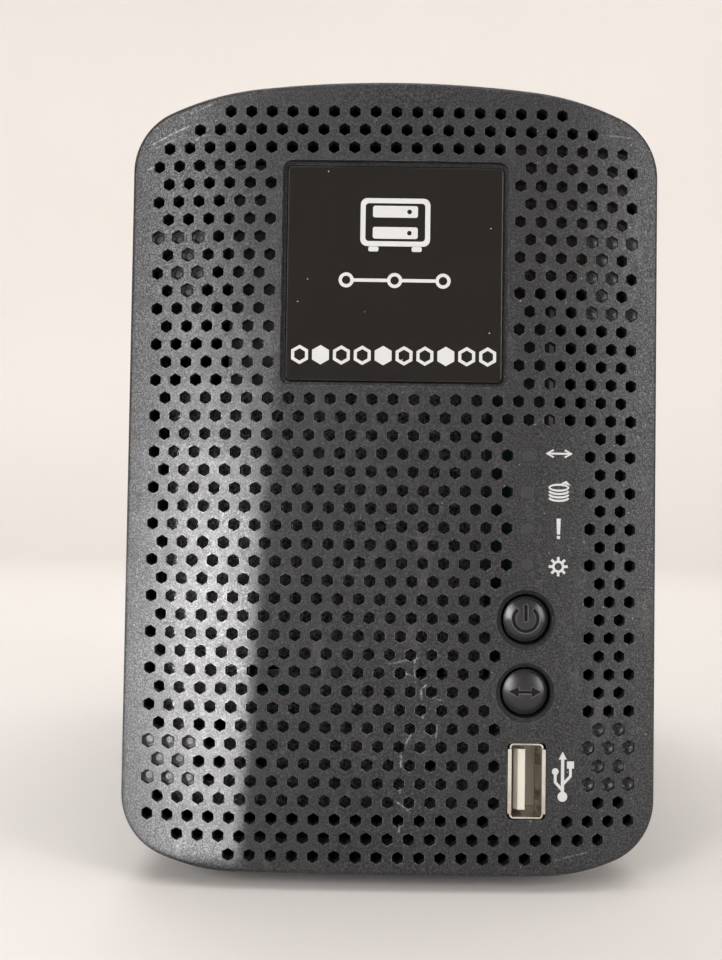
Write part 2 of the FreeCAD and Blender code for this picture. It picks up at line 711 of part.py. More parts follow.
def drive_cage():
    """Folded steel hood open at front, rear and bottom: top, side walls, foot flanges and tabs."""
    inner = CAGE_HALF - SHEET
    rear = PANEL_IN - 0.1
    fold = folded_block(CAGE_HALF, (CAGE_FRONT, rear), CAGE_FOOT, CAGE_TOP, CAGE_BEND)
    hollow = folded_block(inner, (CAGE_FRONT - 1, REAR), CAGE_FOOT - 1, CAGE_TOP - SHEET,
                          CAGE_BEND - SHEET)
    fan_space = box((-50, 50), (TRAY_END, REAR), (CAGE_TOP - CAGE_BEND, 140))
    pieces = [cut(fold, [hollow, fan_space])]
    for side in (-1, 1):
        flange = sorted((side * 35.2, side * inner))
        pieces.append(box(flange, (CAGE_FRONT + 5, 90.0), (CAGE_FOOT, CAGE_FOOT + SHEET)))
        tab = sorted((side * 34.0, side * inner))
        for x, z in boss_places():
            if x * side > 0:
                pieces.append(box(tab, (CAGE_FRONT, CAGE_FRONT + SHEET), (z - 6, z + 6)))
        rear_tab = sorted((side * 33.0, side * inner))
        pieces.append(box(rear_tab, (rear - SHEET, rear), (30.0, 42.0)))
    tools = [y_rod(1.5, x, z, CAGE_FRONT - 1, CAGE_FRONT + 2) for x, z in boss_places()]
    tools.append(box((-50, 50), (CAGE_FRONT - 1, CAGE_FRONT + 3.5), (CAGE_FOOT - 1, 16.0)))
    tools += [z_rod(1.3, side * POST_X, y, 10, 14) for side in (-1, 1) for y in POST_YS]
    tools += [y_rod(1.2, side * 37.5, 36.0, 90, 100) for side in (-1, 1)]
    tools += [z_rod(1.9, x, y, CAGE_TOP - 2, CAGE_TOP + 1) for x, y in drive_screw_places()]
    for side in (-1, 1):
        wall = sorted((side * (inner - 1), side * (CAGE_HALF + 1)))
        for i in range(CAGE_VENTS):
            y = (i - (CAGE_VENTS - 1) / 2) * CAGE_VENT_PITCH
            tools.append(box(wall, (y - CAGE_VENT / 2, y + CAGE_VENT / 2), (45, 115)))
    return cut(fuse(pieces), tools)


def drive_tray():
    """Sheet across the cage that both drives stand on, with its two sides folded up."""
    half = CAGE_HALF - SHEET
    length = (CAGE_FRONT + SHEET, TRAY_END)
    sheet = box((-half, half), length, (TRAY_TOP - SHEET, TRAY_TOP))
    lips = [box(sorted((side * half, side * (half - SHEET))), length,
                (TRAY_TOP - SHEET, TRAY_TOP + TRAY_LIP)) for side in (-1, 1)]
    holes = [z_rod(1.9, x, y, TRAY_TOP - 2, TRAY_TOP + 1) for x, y in drive_screw_places()]
    return cut(fuse([sheet] + lips), holes)


def drive_lefts():
    """X where each drive begins, left drive first."""
    return (-DRIVE_GAP / 2 - DRIVE_THICK, DRIVE_GAP / 2)


def drive_screw_places():
    """The two edge screws used at the top and at the bottom of each drive."""
    return [(left + 6.4, DRIVE_Y + DRIVE_LONG - y) for left in drive_lefts()
            for y in (28.5, 130.1)]


def drive_screws():
    up = facing(pan_screw(3.2, 1.6, 1.5, 4.0), "up")
    down = facing(pan_screw(3.2, 1.6, 1.5, 4.0), "down")
    screws = []
    for x, y in drive_screw_places():
        screws.append(moved(up, x, y, CAGE_TOP))
        screws.append(moved(down, x, y, TRAY_TOP - SHEET))
    return group(screws)


def cage_screws():
    screw = facing(pan_screw(2.7, 1.1, 1.5, 6.5), "down")
    return [moved(screw, side * POST_X, y, 8.0) for side in (-1, 1) for y in POST_YS]


def cage_and_bezel_screws():
    """The screws that hold the cage down on the base and the bezel on the cage."""
    return group(cage_screws() + bezel_screws())


# ---- one drive, built in its own frame: X through its thickness, Y along it, Z across it --------
def x_rod(radius, place, x0, x1):
    return rod(radius, (x0, place[0], place[1]), x1 - x0, (1, 0, 0))


def drive_base():
    """Cast tray with the round well, the actuator well, spindle pin and pivot pin."""
    body = box((0, DRIVE_THICK - 1.0), (0, DRIVE_LONG), (0, DRIVE_WIDE))
    corners = [e for e in body.Edges if abs(e.tangentAt(e.FirstParameter).x) > 0.9]
    body = body.makeFillet(3.0, corners)
    floor = 6.2
    top = DRIVE_THICK
    well = x_rod(PLATTER_RADIUS + 1.2, SPINDLE, floor, top)
    well = well.fuse(box((floor, top), (88, 136), (8, 95)))
    well = well.fuse(box((floor, top), (100, 144), (52, 95)))
    under = box((-1, 3.2), (38, 143), (6, 96))
    notch = box((-1, 7.6), (138.4, 148), (8, 46))
    cast = cut(body, [well, under, notch])
    pins = [x_rod(2.0, SPINDLE, floor - 1, 22.0), x_rod(3.0, PIVOT, floor - 1, 22.0)]
    cast = fuse([cast] + pins)
    holes = []
    for y in (28.5, 130.1):
        place = (6.4, DRIVE_LONG - y)
        holes.append(rod(1.7, (*place, -1), 5.0, (0, 0, 1)))
        holes.append(rod(1.7, (*place, DRIVE_WIDE - 4), 5.0, (0, 0, 1)))
    holes += [x_rod(0.9, place, 18.0, 26.0) for place in cover_screw_places()]
    return cut(cast, holes)


def cover_screw_places():
    """Lid screws at the corners and beside the wells."""
    return [(4.5, 4.5), (4.5, 97.1), (142.5, 4.5), (142.5, 98.0), (84.0, 3.2), (98.5, 98.4)]


def drive_lid():
    lid = box((DRIVE_THICK - 1.0, DRIVE_THICK), (0.8, DRIVE_LONG - 0.8), (0.8, DRIVE_WIDE - 0.8))
    corners = [e for e in lid.Edges if abs(e.tangentAt(e.FirstParameter).x) > 0.9]
    lid = lid.makeFillet(3.0, corners)
    ring = x_rod(44.0, SPINDLE, DRIVE_THICK - 0.35, 30).cut(x_rod(41.0, SPINDLE, 20, 31))
    dimple = x_rod(9.0, PIVOT, DRIVE_THICK - 0.35, 30)
    return cut(lid, [ring, dimple] + [x_rod(1.1, place, 20, 30) for place in cover_screw_places()])


def drive_lid_screws():
    screw = facing(pan_screw(1.9, 0.85, 0.6, 5.0), "right")
    return group(moved(screw, DRIVE_THICK, y, z) for y, z in cover_screw_places())


def platter_stack():
    """Three discs with their spacers, hub and clamp, turning on the spindle pin."""
    pieces = [x_rod(12.4, SPINDLE, 6.8, 21.2), x_rod(15.5, SPINDLE, 19.0, 20.6)]
    pieces += [x_rod(PLATTER_RADIUS, SPINDLE, level, level + 1) for level in DISC_LEVELS]
    stack = fuse(pieces)
    tools = [x_rod(2.05, SPINDLE, 0, 30)]
    for i in range(6):
        angle = radians(60 * i)
        place = (SPINDLE[0] + 9.0 * cos(angle), SPINDLE[1] + 9.0 * sin(angle))
        tools.append(x_rod(1.3, place, 19.5, 25))
    return cut(stack, tools)


def sector(inner, outer, first, last, x0, x1):
    """Part of a ring about the arm's pivot, between two directions."""
    def at(radius, angle):
        return (x0, PIVOT[0] + radius * cos(angle), PIVOT[1] + radius * sin(angle))

    middle = (first + last) / 2
    edges = [arc(at(outer, first), at(outer, middle), at(outer, last)),
             line(at(outer, last), at(inner, last)),
             arc(at(inner, last), at(inner, middle), at(inner, first)),
             line(at(inner, first), at(outer, first))]
    return Part.Face(Part.Wire(edges)).extrude(V(x1 - x0, 0, 0))


def head_arm():
    """Actuator: bearing barrel, four tapered arms with sliders, and the voice coil."""
    barrel = x_rod(7.0, PIVOT, 7.0, 21.6)
    pieces = [barrel]
    along = (cos(ARM_PARKED), sin(ARM_PARKED))
    across = (-along[1], along[0])

    def at(x, reach, side):
        return (x, PIVOT[0] + along[0] * reach + across[0] * side,
                PIVOT[1] + along[1] * reach + across[1] * side)

    for level in ARM_LEVELS:
        plan = [(2.0, -6.0), (ARM_LONG - 4, -1.6), (ARM_LONG, -0.8),
                (ARM_LONG, 0.8), (ARM_LONG - 4, 1.6), (2.0, 6.0)]
        face = Part.Face(polygon([at(level, reach, side) for reach, side in plan]))
        pieces.append(face.extrude(V(1.0, 0, 0)))
    coil = sector(5.5, 24.5, ARM_PARKED - pi - 0.27, ARM_PARKED - pi + 0.27, 13.0, 16.0)
    window = sector(13.0, 20.5, ARM_PARKED - pi - 0.12, ARM_PARKED - pi + 0.12, 12.0, 17.0)
    pieces.append(coil.cut(window))
    return fuse(pieces).cut(x_rod(3.05, PIVOT, 0, 30))


def magnet_yokes():
    """Steel yokes above and below the coil, each with its magnet, and two spacers."""
    first = radians(0)
    last = radians(82)
    lower = sector(11.0, 26.0, first, last, 6.3, 8.4)
    upper = sector(11.0, 26.0, first, last, 20.4, 23.0)
    posts = []
    for angle in (first + 0.07, last - 0.07):
        place = (PIVOT[0] + 25.8 * cos(angle), PIVOT[1] + 25.8 * sin(angle))
        posts.append(x_rod(1.1, place, 6.3, 23.0))
    return fuse([lower, upper] + posts)


def magnets():
    first = radians(10)
    last = radians(72)
    return group([sector(12.5, 24.0, first, last, 8.4, 11.6),
                  sector(12.5, 24.0, first, last, 17.4, 20.4)])


def drive_board():
    """Controller board under the casting, with its chips and the plug at the rear."""
    board = box((1.5, 3.1), (46, 141.5), (6.6, 95.4))
    chips = [box((0.3, 1.5), (86, 100), (50, 64)), box((0.5, 1.5), (110, 121), (68, 78)),
             box((0.5, 1.5), (66, 74), (36, 44))]
    plug = box((1.5, 6.8), (138.6, 141.5), (9, 45))
    blade = box((3.6, 4.8), (141.0, 145.6), (11, 43))
    return fuse([board] + chips + [plug, blade])


def place_drive(shape, index):
    return moved(shape, drive_lefts()[index], DRIVE_Y, DRIVE_Z)


def place_both(shape):
    return group(place_drive(shape, index) for index in (0, 1))


# ---- boards ------------------------------------------------------------------------------------------
def board_screw_places():
    return [(side * 30.5, y) for side in (-1, 1) for y in (-66.0, 44.0)]


def main_board():
    board = box((-BOARD_HALF, BOARD_HALF), (BOARD_FRONT, BOARD_REAR), (BOARD_Z, BOARD_TOP))
    return cut(board, [z_rod(1.5, x, y, 0, 20) for x, y in board_screw_places()])


def board_screws():
    """The screws of the main board and those of the front board."""
    screw = facing(pan_screw(2.4, 1.0, 1.3, 5.4), "up")
    main = [moved(screw, x, y, BOARD_TOP) for x, y in board_screw_places()]
    return group(main + front_board_screws())


def processor():
    return box((-12, 12), (-12, 12), (BOARD_TOP, BOARD_TOP + 1.8))


def heatsink():
    """Finned block on the processor."""
    bottom = BOARD_TOP + 1.8
    base = box((-15, 15), (-15, 15), (bottom, bottom + 2.2))
    fins = [box((-15, 15), (-15 + 3.5 * i, -13.9 + 3.5 * i), (bottom + 2, bottom + 10))
            for i in range(9)]
    return fuse([base] + fins)


def memory_chips():
    return group(box((x - 5.5, x + 5.5), (y - 4, y + 4), (BOARD_TOP, BOARD_TOP + 1.1))
                 for x in (-24, 24) for y in (-6, 6))


def capacitors():
    """Electrolytic cans beside the inlet and near the front."""
    cans = []
    for x, y in ((22.0, 66.0), (29.0, 66.0), (-26.0, -40.0), (-18.0, -40.0), (24.0, -40.0)):
        can = z_rod(3.1, x, y, BOARD_TOP, BOARD_TOP + 9)
        top = [e for e in can.Edges if e.BoundBox.ZMin > BOARD_TOP + 8.9]
        cans.append(can.makeFillet(0.5, top))
    return group(cans)


def cell_holder():
    holder = z_rod(11.2, 5, -46, BOARD_TOP, BOARD_TOP + 4.6)
    holder = holder.cut(z_rod(10.15, 5, -46, BOARD_TOP + 1.2, BOARD_TOP + 6))
    return holder.cut(box((1, 9), (-60, -50), (BOARD_TOP + 1.2, BOARD_TOP + 6)))


def coin_cell():
    return z_rod(10.0, 5, -46, BOARD_TOP + 1.25, BOARD_TOP + 4.45)


def lan_jack():
    """Shielded jack body with a stepped opening for the plug and its latch."""
    low = BOARD_TOP + 0.1
    body = box((LAN_X - 8, LAN_X + 8), (77.5, PANEL_OUT), (low, low + 13.4))
    plug = box((LAN_X - 5.95, LAN_X + 5.95), (84.5, 120), (low + 3.6, low + 11.9))
    step = box((LAN_X - 3.2, LAN_X + 3.2), (84.5, 120), (low + 1.9, low + 4.0))
    latch = box((LAN_X - 1.8, LAN_X + 1.8), (84.5, 120), (low + 0.8, low + 2.4))
    return cut(body, [plug, step, latch])


def lan_contacts():
    """Eight slanting spring wires under the roof of the jack."""
    roof = BOARD_TOP + 12.0
    wires = []
    for i in range(8):
        x = LAN_X + (i - 3.5) * 1.02
        plan = [(x - 0.17, 94.5, roof - 0.05), (x - 0.17, 86.0, roof - 2.4),
                (x - 0.17, 86.0, roof - 1.95), (x - 0.17, 93.5, roof - 0.05)]
        wires.append(Part.Face(polygon(plan)).extrude(V(0.34, 0, 0)))
    return group(wires)


def inlet_height():
    return BOARD_TOP + 6.5


def power_inlet():
    """Round low-voltage inlet."""
    low = BOARD_TOP + 0.1
    block = box((INLET_X - 4.5, INLET_X + 4.5), (84.0, 94.4), (low, low + 11.2))
    nose = y_rod(4.1, INLET_X, inlet_height(), 90.0, PANEL_OUT + 0.4)
    bore = y_rod(2.85, INLET_X, inlet_height(), 88.0, 110.0)
    return fuse([block, nose]).cut(bore)


def inlet_pin():
    pin = y_rod(1.0, INLET_X, inlet_height(), 88.0, PANEL_OUT - 0.8)
    tip = [e for e in pin.Edges if e.BoundBox.YMin > PANEL_OUT - 0.9]
    return pin.makeFillet(0.5, tip)


def reset_switch():
    body = box((RESET_X - 2.0, RESET_X + 2.0), (90.5, 94.0), (BOARD_TOP, BOARD_TOP + 6.0))
    return body.cut(y_rod(1.1, RESET_X, RESET_Z, 92.0, 95.0))


def reset_button():
    return y_rod(1.0, RESET_X, RESET_Z, 92.0 + RESET_TRAVEL + 0.2, PANEL_OUT - 0.6)


def backplane():
    board = box((-34, 34), (BACKPLANE_Y, BACKPLANE_Y + BOARD_THICK), (12.6, 118.0))
    window = box((-22, 22), (BACKPLANE_Y - 1, BACKPLANE_Y + 3), (84, 112))
    slots = [box((side * 22 - 8, side * 22 + 8), (BACKPLANE_Y - 1, BACKPLANE_Y + 3), (30, 34))
             for side in (-1, 1)]
    return cut(board, [window] + slots)


def backplane_slot():
    """Edge socket on the main board that the backplane stands in."""
    body = box((-30, 14), (BACKPLANE_Y - 2.2, BACKPLANE_Y + BOARD_THICK + 2.2),
               (BOARD_TOP, BOARD_TOP + 8.0))
    return body.cut(box((-40, 40), (BACKPLANE_Y - 0.05, BACKPLANE_Y + BOARD_THICK + 0.05),
                        (BOARD_TOP + 1.9, BOARD_TOP + 20)))


def sata_sockets():
    """Socket block for each drive, reaching into the notch of the casting."""
    sockets = []
    for left in drive_lefts():
        low = DRIVE_Z + 9.4
        nose = box((left + 1.9, left + 6.5), (DRIVE_Y + 141.8, BACKPLANE_Y), (low, low + 35.2))
        foot = box((left + 0.4, left + 8.0), (DRIVE_Y + 148, BACKPLANE_Y), (low - 2, low + 37.2))
        blade = box((left + 3.5, left + 4.9), (DRIVE_Y + 140, DRIVE_Y + 146.0),
                    (low + 1.4, low + 33.8))
        sockets.append(nose.fuse(foot).cut(blade))
    return group(sockets)


def board_connectors():
    """Sockets for the ribbon, the slot for the backplane, and the fan plug."""
    return group(ribbon_sockets() + [backplane_slot(), lead_plug()])


def ribbon_sockets():
    front = box((-21.5, -6.5), (FRONT_BOARD_Y + BOARD_THICK, FRONT_BOARD_Y + BOARD_THICK + 2.4),
                (21.6, 26.4))
    main = box((-21.5, -6.5), (-64.5, -59.5), (BOARD_TOP, BOARD_TOP + 2.8))
    front = front.cut(box((-20, -8), (FRONT_BOARD_Y + 2.6, -70), (23.7, 24.3)))
    main = main.cut(box((-20, -8), (-70, -61.5), (BOARD_TOP + 1.1, BOARD_TOP + 1.7)))
    return [front, main]


def front_ribbon():
    """Flat cable from the front board down to the main board, folded once each way."""
    thick = 0.4
    bend = 4.0
    high = 24.0
    low = BOARD_TOP + 1.4
    half = thick / 2
    x = -19.5
    start = FRONT_BOARD_Y + 3.0
    first = start + 4.5                     # start of the upper bend
    second = first + 2 * bend               # end of the lower bend
    end = -62.0
    outer = bend + half
    inner = bend - half
    diagonal = sqrt(0.5)
    top_centre = high - bend
    low_centre = low + bend
    edges = [
        line((x, start, high + half), (x, first, high + half)),
        arc((x, first, high + half),
            (x, first + outer * diagonal, top_centre + outer * diagonal),
            (x, first + outer, top_centre)),
        line((x, first + outer, top_centre), (x, second - inner, low_centre)),
        arc((x, second - inner, low_centre),
            (x, second - inner * diagonal, low_centre - inner * diagonal),
            (x, second, low_centre - inner)),
        line((x, second, low + half), (x, end, low + half)),
        line((x, end, low + half), (x, end, low - half)),
        line((x, end, low - half), (x, second, low - half)),
        arc((x, second, low - half),
            (x, second - outer * diagonal, low_centre - outer * diagonal),
            (x, second - outer, low_centre)),
        line((x, second - outer, low_centre), (x, first + inner, top_centre)),
        arc((x, first + inner, top_centre),
            (x, first + inner * diagonal, top_centre + inner * diagonal),
            (x, first, high - half)),
        line((x, first, high - half), (x, start, high - half)),
        line((x, start, high - half), (x, start, high + half)),
    ]
    return Part.Face(Part.Wire(edges)).extrude(V(11.0, 0, 0))


# ---- rear wall and fan ---------------------------------------------------------------------------------
def rear_screw_places():
    return [(-31.0, 132.6), (31.0, 132.6), (-37.5, 36.0), (37.5, 36.0)]


def rear_panel():
    """Steel rear wall with the fan grille, the connector openings and the lock slot."""
    panel = casing_prism(SHELL_GAP + SHELL_WALL + 0.2, PANEL_IN, PANEL_OUT)
    tools = []
    pitch = 5.2
    step = pitch * sqrt(3) / 2
    for row in range(-8, 9):
        for column in range(-16, 17):
            if (row + column) % 2:
                continue
            x = column * pitch / 2
            z = FAN_Z + row * step
            if sqrt(x * x + (z - FAN_Z) ** 2) < FAN_BORE - 2.0:
                tools.append(prism(hexagon(4.3, x, PANEL_IN - 1, z), PANEL_IN - 1, PANEL_OUT + 1))
    deep = (PANEL_IN - 1, PANEL_OUT + 1)
    low = BOARD_TOP + 0.1
    tools.append(box((LAN_X - 8.15, LAN_X + 8.15), deep, (low - 0.15, low + 13.55)))
    for x in REAR_USB_XS:
        tools.append(box((x - 6.75, x + 6.75), deep, (low - 0.4, low + USB_SHORT + 0.4)))
    tools.append(y_rod(4.3, INLET_X, inlet_height(), *deep))
    tools.append(y_rod(1.25, RESET_X, RESET_Z, *deep))
    tools.append(rounded_block((LOCK_X - 3.5, LOCK_X + 3.5), deep, (LOCK_Z - 1.5, LOCK_Z + 1.5), 1.2))
    tools += [y_rod(1.6, x, z, *deep) for x, z in rear_screw_places() + fan_screw_places()]
    return cut(panel, tools)


def fan_screw_places():
    return [(x, FAN_Z + z) for x in (-FAN_HOLE, FAN_HOLE) for z in (-FAN_HOLE, FAN_HOLE)]


def rear_screws():
    screw = facing(pan_screw(2.9, 1.15, 1.3, 6.0), "rear")
    return group(moved(screw, x, PANEL_OUT, z) for x, z in rear_screw_places())


def fan_screws():
    screw = facing(pan_screw(3.4, 1.5, 1.3, 9.0), "rear")
    return group(moved(screw, x, PANEL_OUT, z) for x, z in fan_screw_places())


def fan_frame():
    """Square frame with a round duct, four struts and the bearing tube."""
    half = FAN_SIDE / 2
    block = rounded_block((-half, half), (FAN_FRONT, FAN_REAR), (FAN_Z - half, FAN_Z + half), 4.0)
    frame = block.cut(y_rod(FAN_BORE, 0, FAN_Z, FAN_FRONT - 1, FAN_REAR + 1))
    motor = y_rod(15.0, 0, FAN_Z, FAN_REAR - 2.2, FAN_REAR - 0.2)
    struts = []
    for angle in (40, 130, 220, 310):
        strut = box((13, FAN_BORE + 0.5), (FAN_REAR - 2.2, FAN_REAR - 0.2), (-1.5, 1.5))
        strut.rotate(V(0, 0, 0), V(0, 1, 0), angle)
        struts.append(moved(strut, 0, 0, FAN_Z))
    bearing = y_rod(3.4, 0, FAN_Z, FAN_FRONT + 3.2, FAN_REAR - 0.2)
    frame = fuse([frame, motor, bearing] + struts)
    tools = [y_rod(1.55, 0, FAN_Z, FAN_FRONT, FAN_REAR - 1.0)]
    tools += [y_rod(2.1, x, z, FAN_FRONT - 1, FAN_REAR + 1) for x, z in fan_screw_places()]
    return cut(frame, tools)


def fan_blade():
    """Cambered blade: an arc across the duct, drawn out along the radius."""
    camber = 16.0
    thick = 1.3
    sweep = radians(24)

    def at(radius, angle):
        return (-camber * cos(0.9) + radius * cos(angle),
                3.6 - camber * sin(0.9) + radius * sin(angle), HUB_RADIUS - 1.4)

    first = 0.9 - sweep
    last = 0.9 + sweep
    outer = camber + thick
    edges = [arc(at(outer, first), at(outer, 0.9), at(outer, last)),
             line(at(outer, last), at(camber, last)),
             arc(at(camber, last), at(camber, 0.9), at(camber, first)),
             line(at(camber, first), at(outer, first))]
    blade = Part.Face(Part.Wire(edges)).extrude(V(0, 0, BLADE_RADIUS))
    return moved(blade, 0, FAN_FRONT + 2.6, 0).common(y_rod(BLADE_RADIUS, 0, 0, -REAR, REAR))


def fan_rotor():
    """Hub cup with seven cambered blades."""
    low = FAN_FRONT + 0.6
    high = FAN_REAR - 3.0
    cup = y_rod(HUB_RADIUS, 0, 0, low, high)
    cup = cup.makeFillet(1.2, [e for e in cup.Edges if e.BoundBox.YMax < low + 0.01])
    hollow = y_rod(HUB_RADIUS - 1.8, 0, 0, low + 1.8, high + 1)
    blades = []
    for i in range(BLADES):
        blade = fan_blade()
        blade.rotate(V(0, 0, 0), V(0, 1, 0), 360.0 * i / BLADES)
        blades.append(blade)
    socket = y_rod(1.5, 0, 0, low + 0.9, high)
    return moved(fuse([cup.cut(hollow).cut(socket)] + blades), 0, 0, FAN_Z)


def fan_shaft():
    return y_rod(1.5, 0, FAN_Z, FAN_FRONT + 1.5, FAN_REAR - 1.3)


def fan_stator():
    """Four wound poles around the bearing tube."""
    y0 = FAN_FRONT + 4.6
    y1 = FAN_REAR - 3.4
    core = tube(6.0, 3.45, 0, FAN_Z, y0, y1)
    poles = []
    for i in range(4):
        pole = box((5.0, 11.6), (y0 + 1, y1 - 1), (-2.8, 2.8))
        shoe = box((11.0, 12.4), (y0 + 0.4, y1 - 0.4), (-4.4, 4.4))
        piece = pole.fuse(shoe)
        piece.rotate(V(0, 0, 0), V(0, 1, 0), 45 + 90 * i)
        poles.append(moved(piece, 0, 0, FAN_Z))
    return fuse([core] + poles)


def fan_lead():
    """Twin lead from the fan down to its plug, as one round tube."""
    x = PLUG_X
    bend = 5.0
    short = bend * (1 - sqrt(0.5))
    high = FAN_Z - FAN_SIDE / 2
    y_top = FAN_REAR - 6.0
    turn = 33.0
    edges = [
        line((x, y_top, high), (x, y_top, turn)),
        arc((x, y_top, turn), (x, y_top - short, turn - bend + short), (x, y_top - bend, turn - bend)),
        line((x, y_top - bend, turn - bend), (x, y_top - bend - 2, turn - bend)),
        arc((x, y_top - bend - 2, turn - bend),
            (x, y_top - 2 * bend - 2 + short, turn - bend - short),
            (x, y_top - 2 * bend - 2, turn - 2 * bend)),
        line((x, y_top - 2 * bend - 2, turn - 2 * bend), (x, y_top - 2 * bend - 2, PLUG_TOP)),
    ]
    path = Part.Wire(edges)
    section = Part.Wire(Part.makeCircle(1.1, V(x, y_top, high), V(0, 0, -1)))
    return path.makePipeShell([section], True, False)


def lead_plug():
    """Fan plug in its header, which stands on the main board."""
    y = FAN_REAR - 18.0
    return box((PLUG_X - 2.2, PLUG_X + 2.2), (y - 2.6, y + 2.6), (BOARD_TOP, PLUG_TOP))


def parts():
    """Every node with its shape."""
    yield "front_bezel", front_bezel()
    yield "badge_plate", badge_plate()
    yield "power_button", button(POWER_Z, power_symbol)
    yield "transfer_button", button(TRANSFER_Z, transfer_symbol)
    yield "power_switch_plunger", switch_plunger(POWER_Z)
    yield "transfer_switch_plunger", switch_plunger(TRANSFER_Z)
    yield "tact_switches", tact_switches()
    yield "indicator_windows", indicator_windows()
    yield "indicator_leds", indicator_leds()
    yield "front_board", front_board()
    yield "dust_screens", dust_screens()
    yield "usb_shells", place_usb(usb_shell())
    yield "usb_inserts", place_usb(usb_insert())
    yield "usb_contacts", place_usb(usb_contacts())
    yield "top_cover", top_cover()
    yield "base_shell", base_shell()
    yield "rubber_feet", rubber_feet()
    yield "drive_cage", drive_cage()
    yield "drive_tray", drive_tray()
    yield "cage_screws", cage_and_bezel_screws()
    yield "drive_screws", drive_screws()
    for index in (0, 1):
        name = "drive_%d_" % (index + 1)
        yield name + "base", place_drive(drive_base(), index)
        yield name + "lid", place_drive(drive_lid(), index)
        yield name + "platters", place_drive(platter_stack(), index)
        yield name + "head_arm", place_drive(head_arm(), index)
        yield name + "board", place_drive(drive_board(), index)
    yield "magnet_yokes", place_both(magnet_yokes())
    yield "magnets", place_both(magnets())
    yield "lid_screws", place_both(drive_lid_screws())
    yield "main_board", main_board()
    yield "board_screws", board_screws()
    yield "processor", processor()
    yield "heatsink", heatsink()
    yield "memory_chips", memory_chips()
    yield "capacitors", capacitors()
    yield "cell_holder", cell_holder()
    yield "coin_cell", coin_cell()
    yield "lan_jack", lan_jack()
    yield "lan_contacts", lan_contacts()
    yield "power_inlet", power_inlet()
    yield "inlet_pin", inlet_pin()
    yield "reset_switch", reset_switch()
    yield "reset_button", reset_button()
    yield "backplane", backplane()
    yield "sata_sockets", sata_sockets()
    yield "board_connectors", board_connectors()
    yield "front_ribbon", front_ribbon()
    yield "rear_panel", rear_panel()
    yield "rear_screws", rear_screws()
    yield "fan_screws", fan_screws()
    yield "fan_frame", fan_frame()
    yield "fan_rotor", fan_rotor()
    yield "fan_shaft", fan_shaft()
    yield "fan_stator", fan_stator()
    yield "fan_lead", fan_lead()


def main():
    os.makedirs("parts", exist_ok=True)
    for name, shape in parts():
        shape.exportStep("parts/%s.step" % name)
        box_of = shape.BoundBox
        print("%-24s solids %3d  valid %s  volume %9.1f  x %.2f %.2f  y %.2f %.2f  z %.2f %.2f" % (
            name, len(shape.Solids), shape.isValid(), shape.Volume, box_of.XMin, box_of.XMax,
            box_of.YMin, box_of.YMax, box_of.ZMin, box_of.ZMax))


main()
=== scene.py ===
import json
import math
import random

import bmesh
import bpy
from mathutils import Matrix, Vector
from mathutils.bvhtree import BVHTree


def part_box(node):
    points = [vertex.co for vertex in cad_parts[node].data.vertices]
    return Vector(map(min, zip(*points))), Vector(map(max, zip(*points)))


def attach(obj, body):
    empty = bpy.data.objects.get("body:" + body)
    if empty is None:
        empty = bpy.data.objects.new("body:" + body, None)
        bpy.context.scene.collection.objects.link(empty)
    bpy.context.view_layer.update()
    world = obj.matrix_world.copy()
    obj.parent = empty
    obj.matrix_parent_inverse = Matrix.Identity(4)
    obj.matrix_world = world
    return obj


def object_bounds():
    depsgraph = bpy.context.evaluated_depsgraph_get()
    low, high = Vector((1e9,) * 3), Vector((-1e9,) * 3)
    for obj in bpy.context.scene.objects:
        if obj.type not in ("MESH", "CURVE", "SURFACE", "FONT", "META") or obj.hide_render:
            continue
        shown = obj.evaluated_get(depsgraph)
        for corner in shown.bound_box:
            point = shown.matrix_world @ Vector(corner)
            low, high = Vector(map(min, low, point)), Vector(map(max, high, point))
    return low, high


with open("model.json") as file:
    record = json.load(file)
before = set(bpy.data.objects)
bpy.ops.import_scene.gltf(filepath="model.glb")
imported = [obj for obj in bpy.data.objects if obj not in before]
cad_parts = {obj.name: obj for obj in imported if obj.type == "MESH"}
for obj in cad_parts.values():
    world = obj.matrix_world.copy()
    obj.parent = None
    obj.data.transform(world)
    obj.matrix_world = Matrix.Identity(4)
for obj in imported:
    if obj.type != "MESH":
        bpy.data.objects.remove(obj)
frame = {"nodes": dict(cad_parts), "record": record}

cad_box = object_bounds()
nodes = frame["nodes"]
record = frame["record"]
draw = random.Random(7)

MM = 0.001


# ---------------------------------------------------------------- node tree helpers

def new_material(name):
    """An empty node material with its output, and the tree to build it in."""
    material = bpy.data.materials.new(name)
    material.use_nodes = True
    tree = material.node_tree
    tree.nodes.clear()
    return material, tree


def connect(tree, socket, value):
    """Links a socket into an input, or sets the input's own value."""
    if isinstance(value, bpy.types.NodeSocket):
        tree.links.new(value, socket)
    else:
        socket.default_value = value


def add(tree, kind, inputs=None, **settings):
    """One shader node, with its settings and its inputs given by name or index."""
    node = tree.nodes.new("ShaderNode" + kind)
    for key, value in settings.items():
        setattr(node, key, value)
    for key, value in (inputs or {}).items():
        connect(tree, node.inputs[key], value)
    return node


def place_of(tree):
    """The point on the object, in metres, in the object's own space."""
    return add(tree, "TexCoord").outputs["Object"]


def noise(tree, place, size, detail=2.0, rough=0.5, stretch=None):
    """Noise from 0 to 1 whose blots are about size metres across."""
    if stretch:
        place = add(tree, "VectorMath", {0: place, 1: stretch}, operation="MULTIPLY").outputs[0]
    inputs = {"Vector": place, "Scale": 1.0 / size, "Detail": detail, "Roughness": rough}
    return add(tree, "TexNoise", inputs).outputs["Fac"]


def maths(tree, operation, a, b=0.0):
    """One step of arithmetic on two values."""
    return add(tree, "Math", {0: a, 1: b}, operation=operation).outputs[0]


def sum_of(tree, a, b):
    return maths(tree, "ADD", a, b)


def product(tree, a, b):
    return maths(tree, "MULTIPLY", a, b)


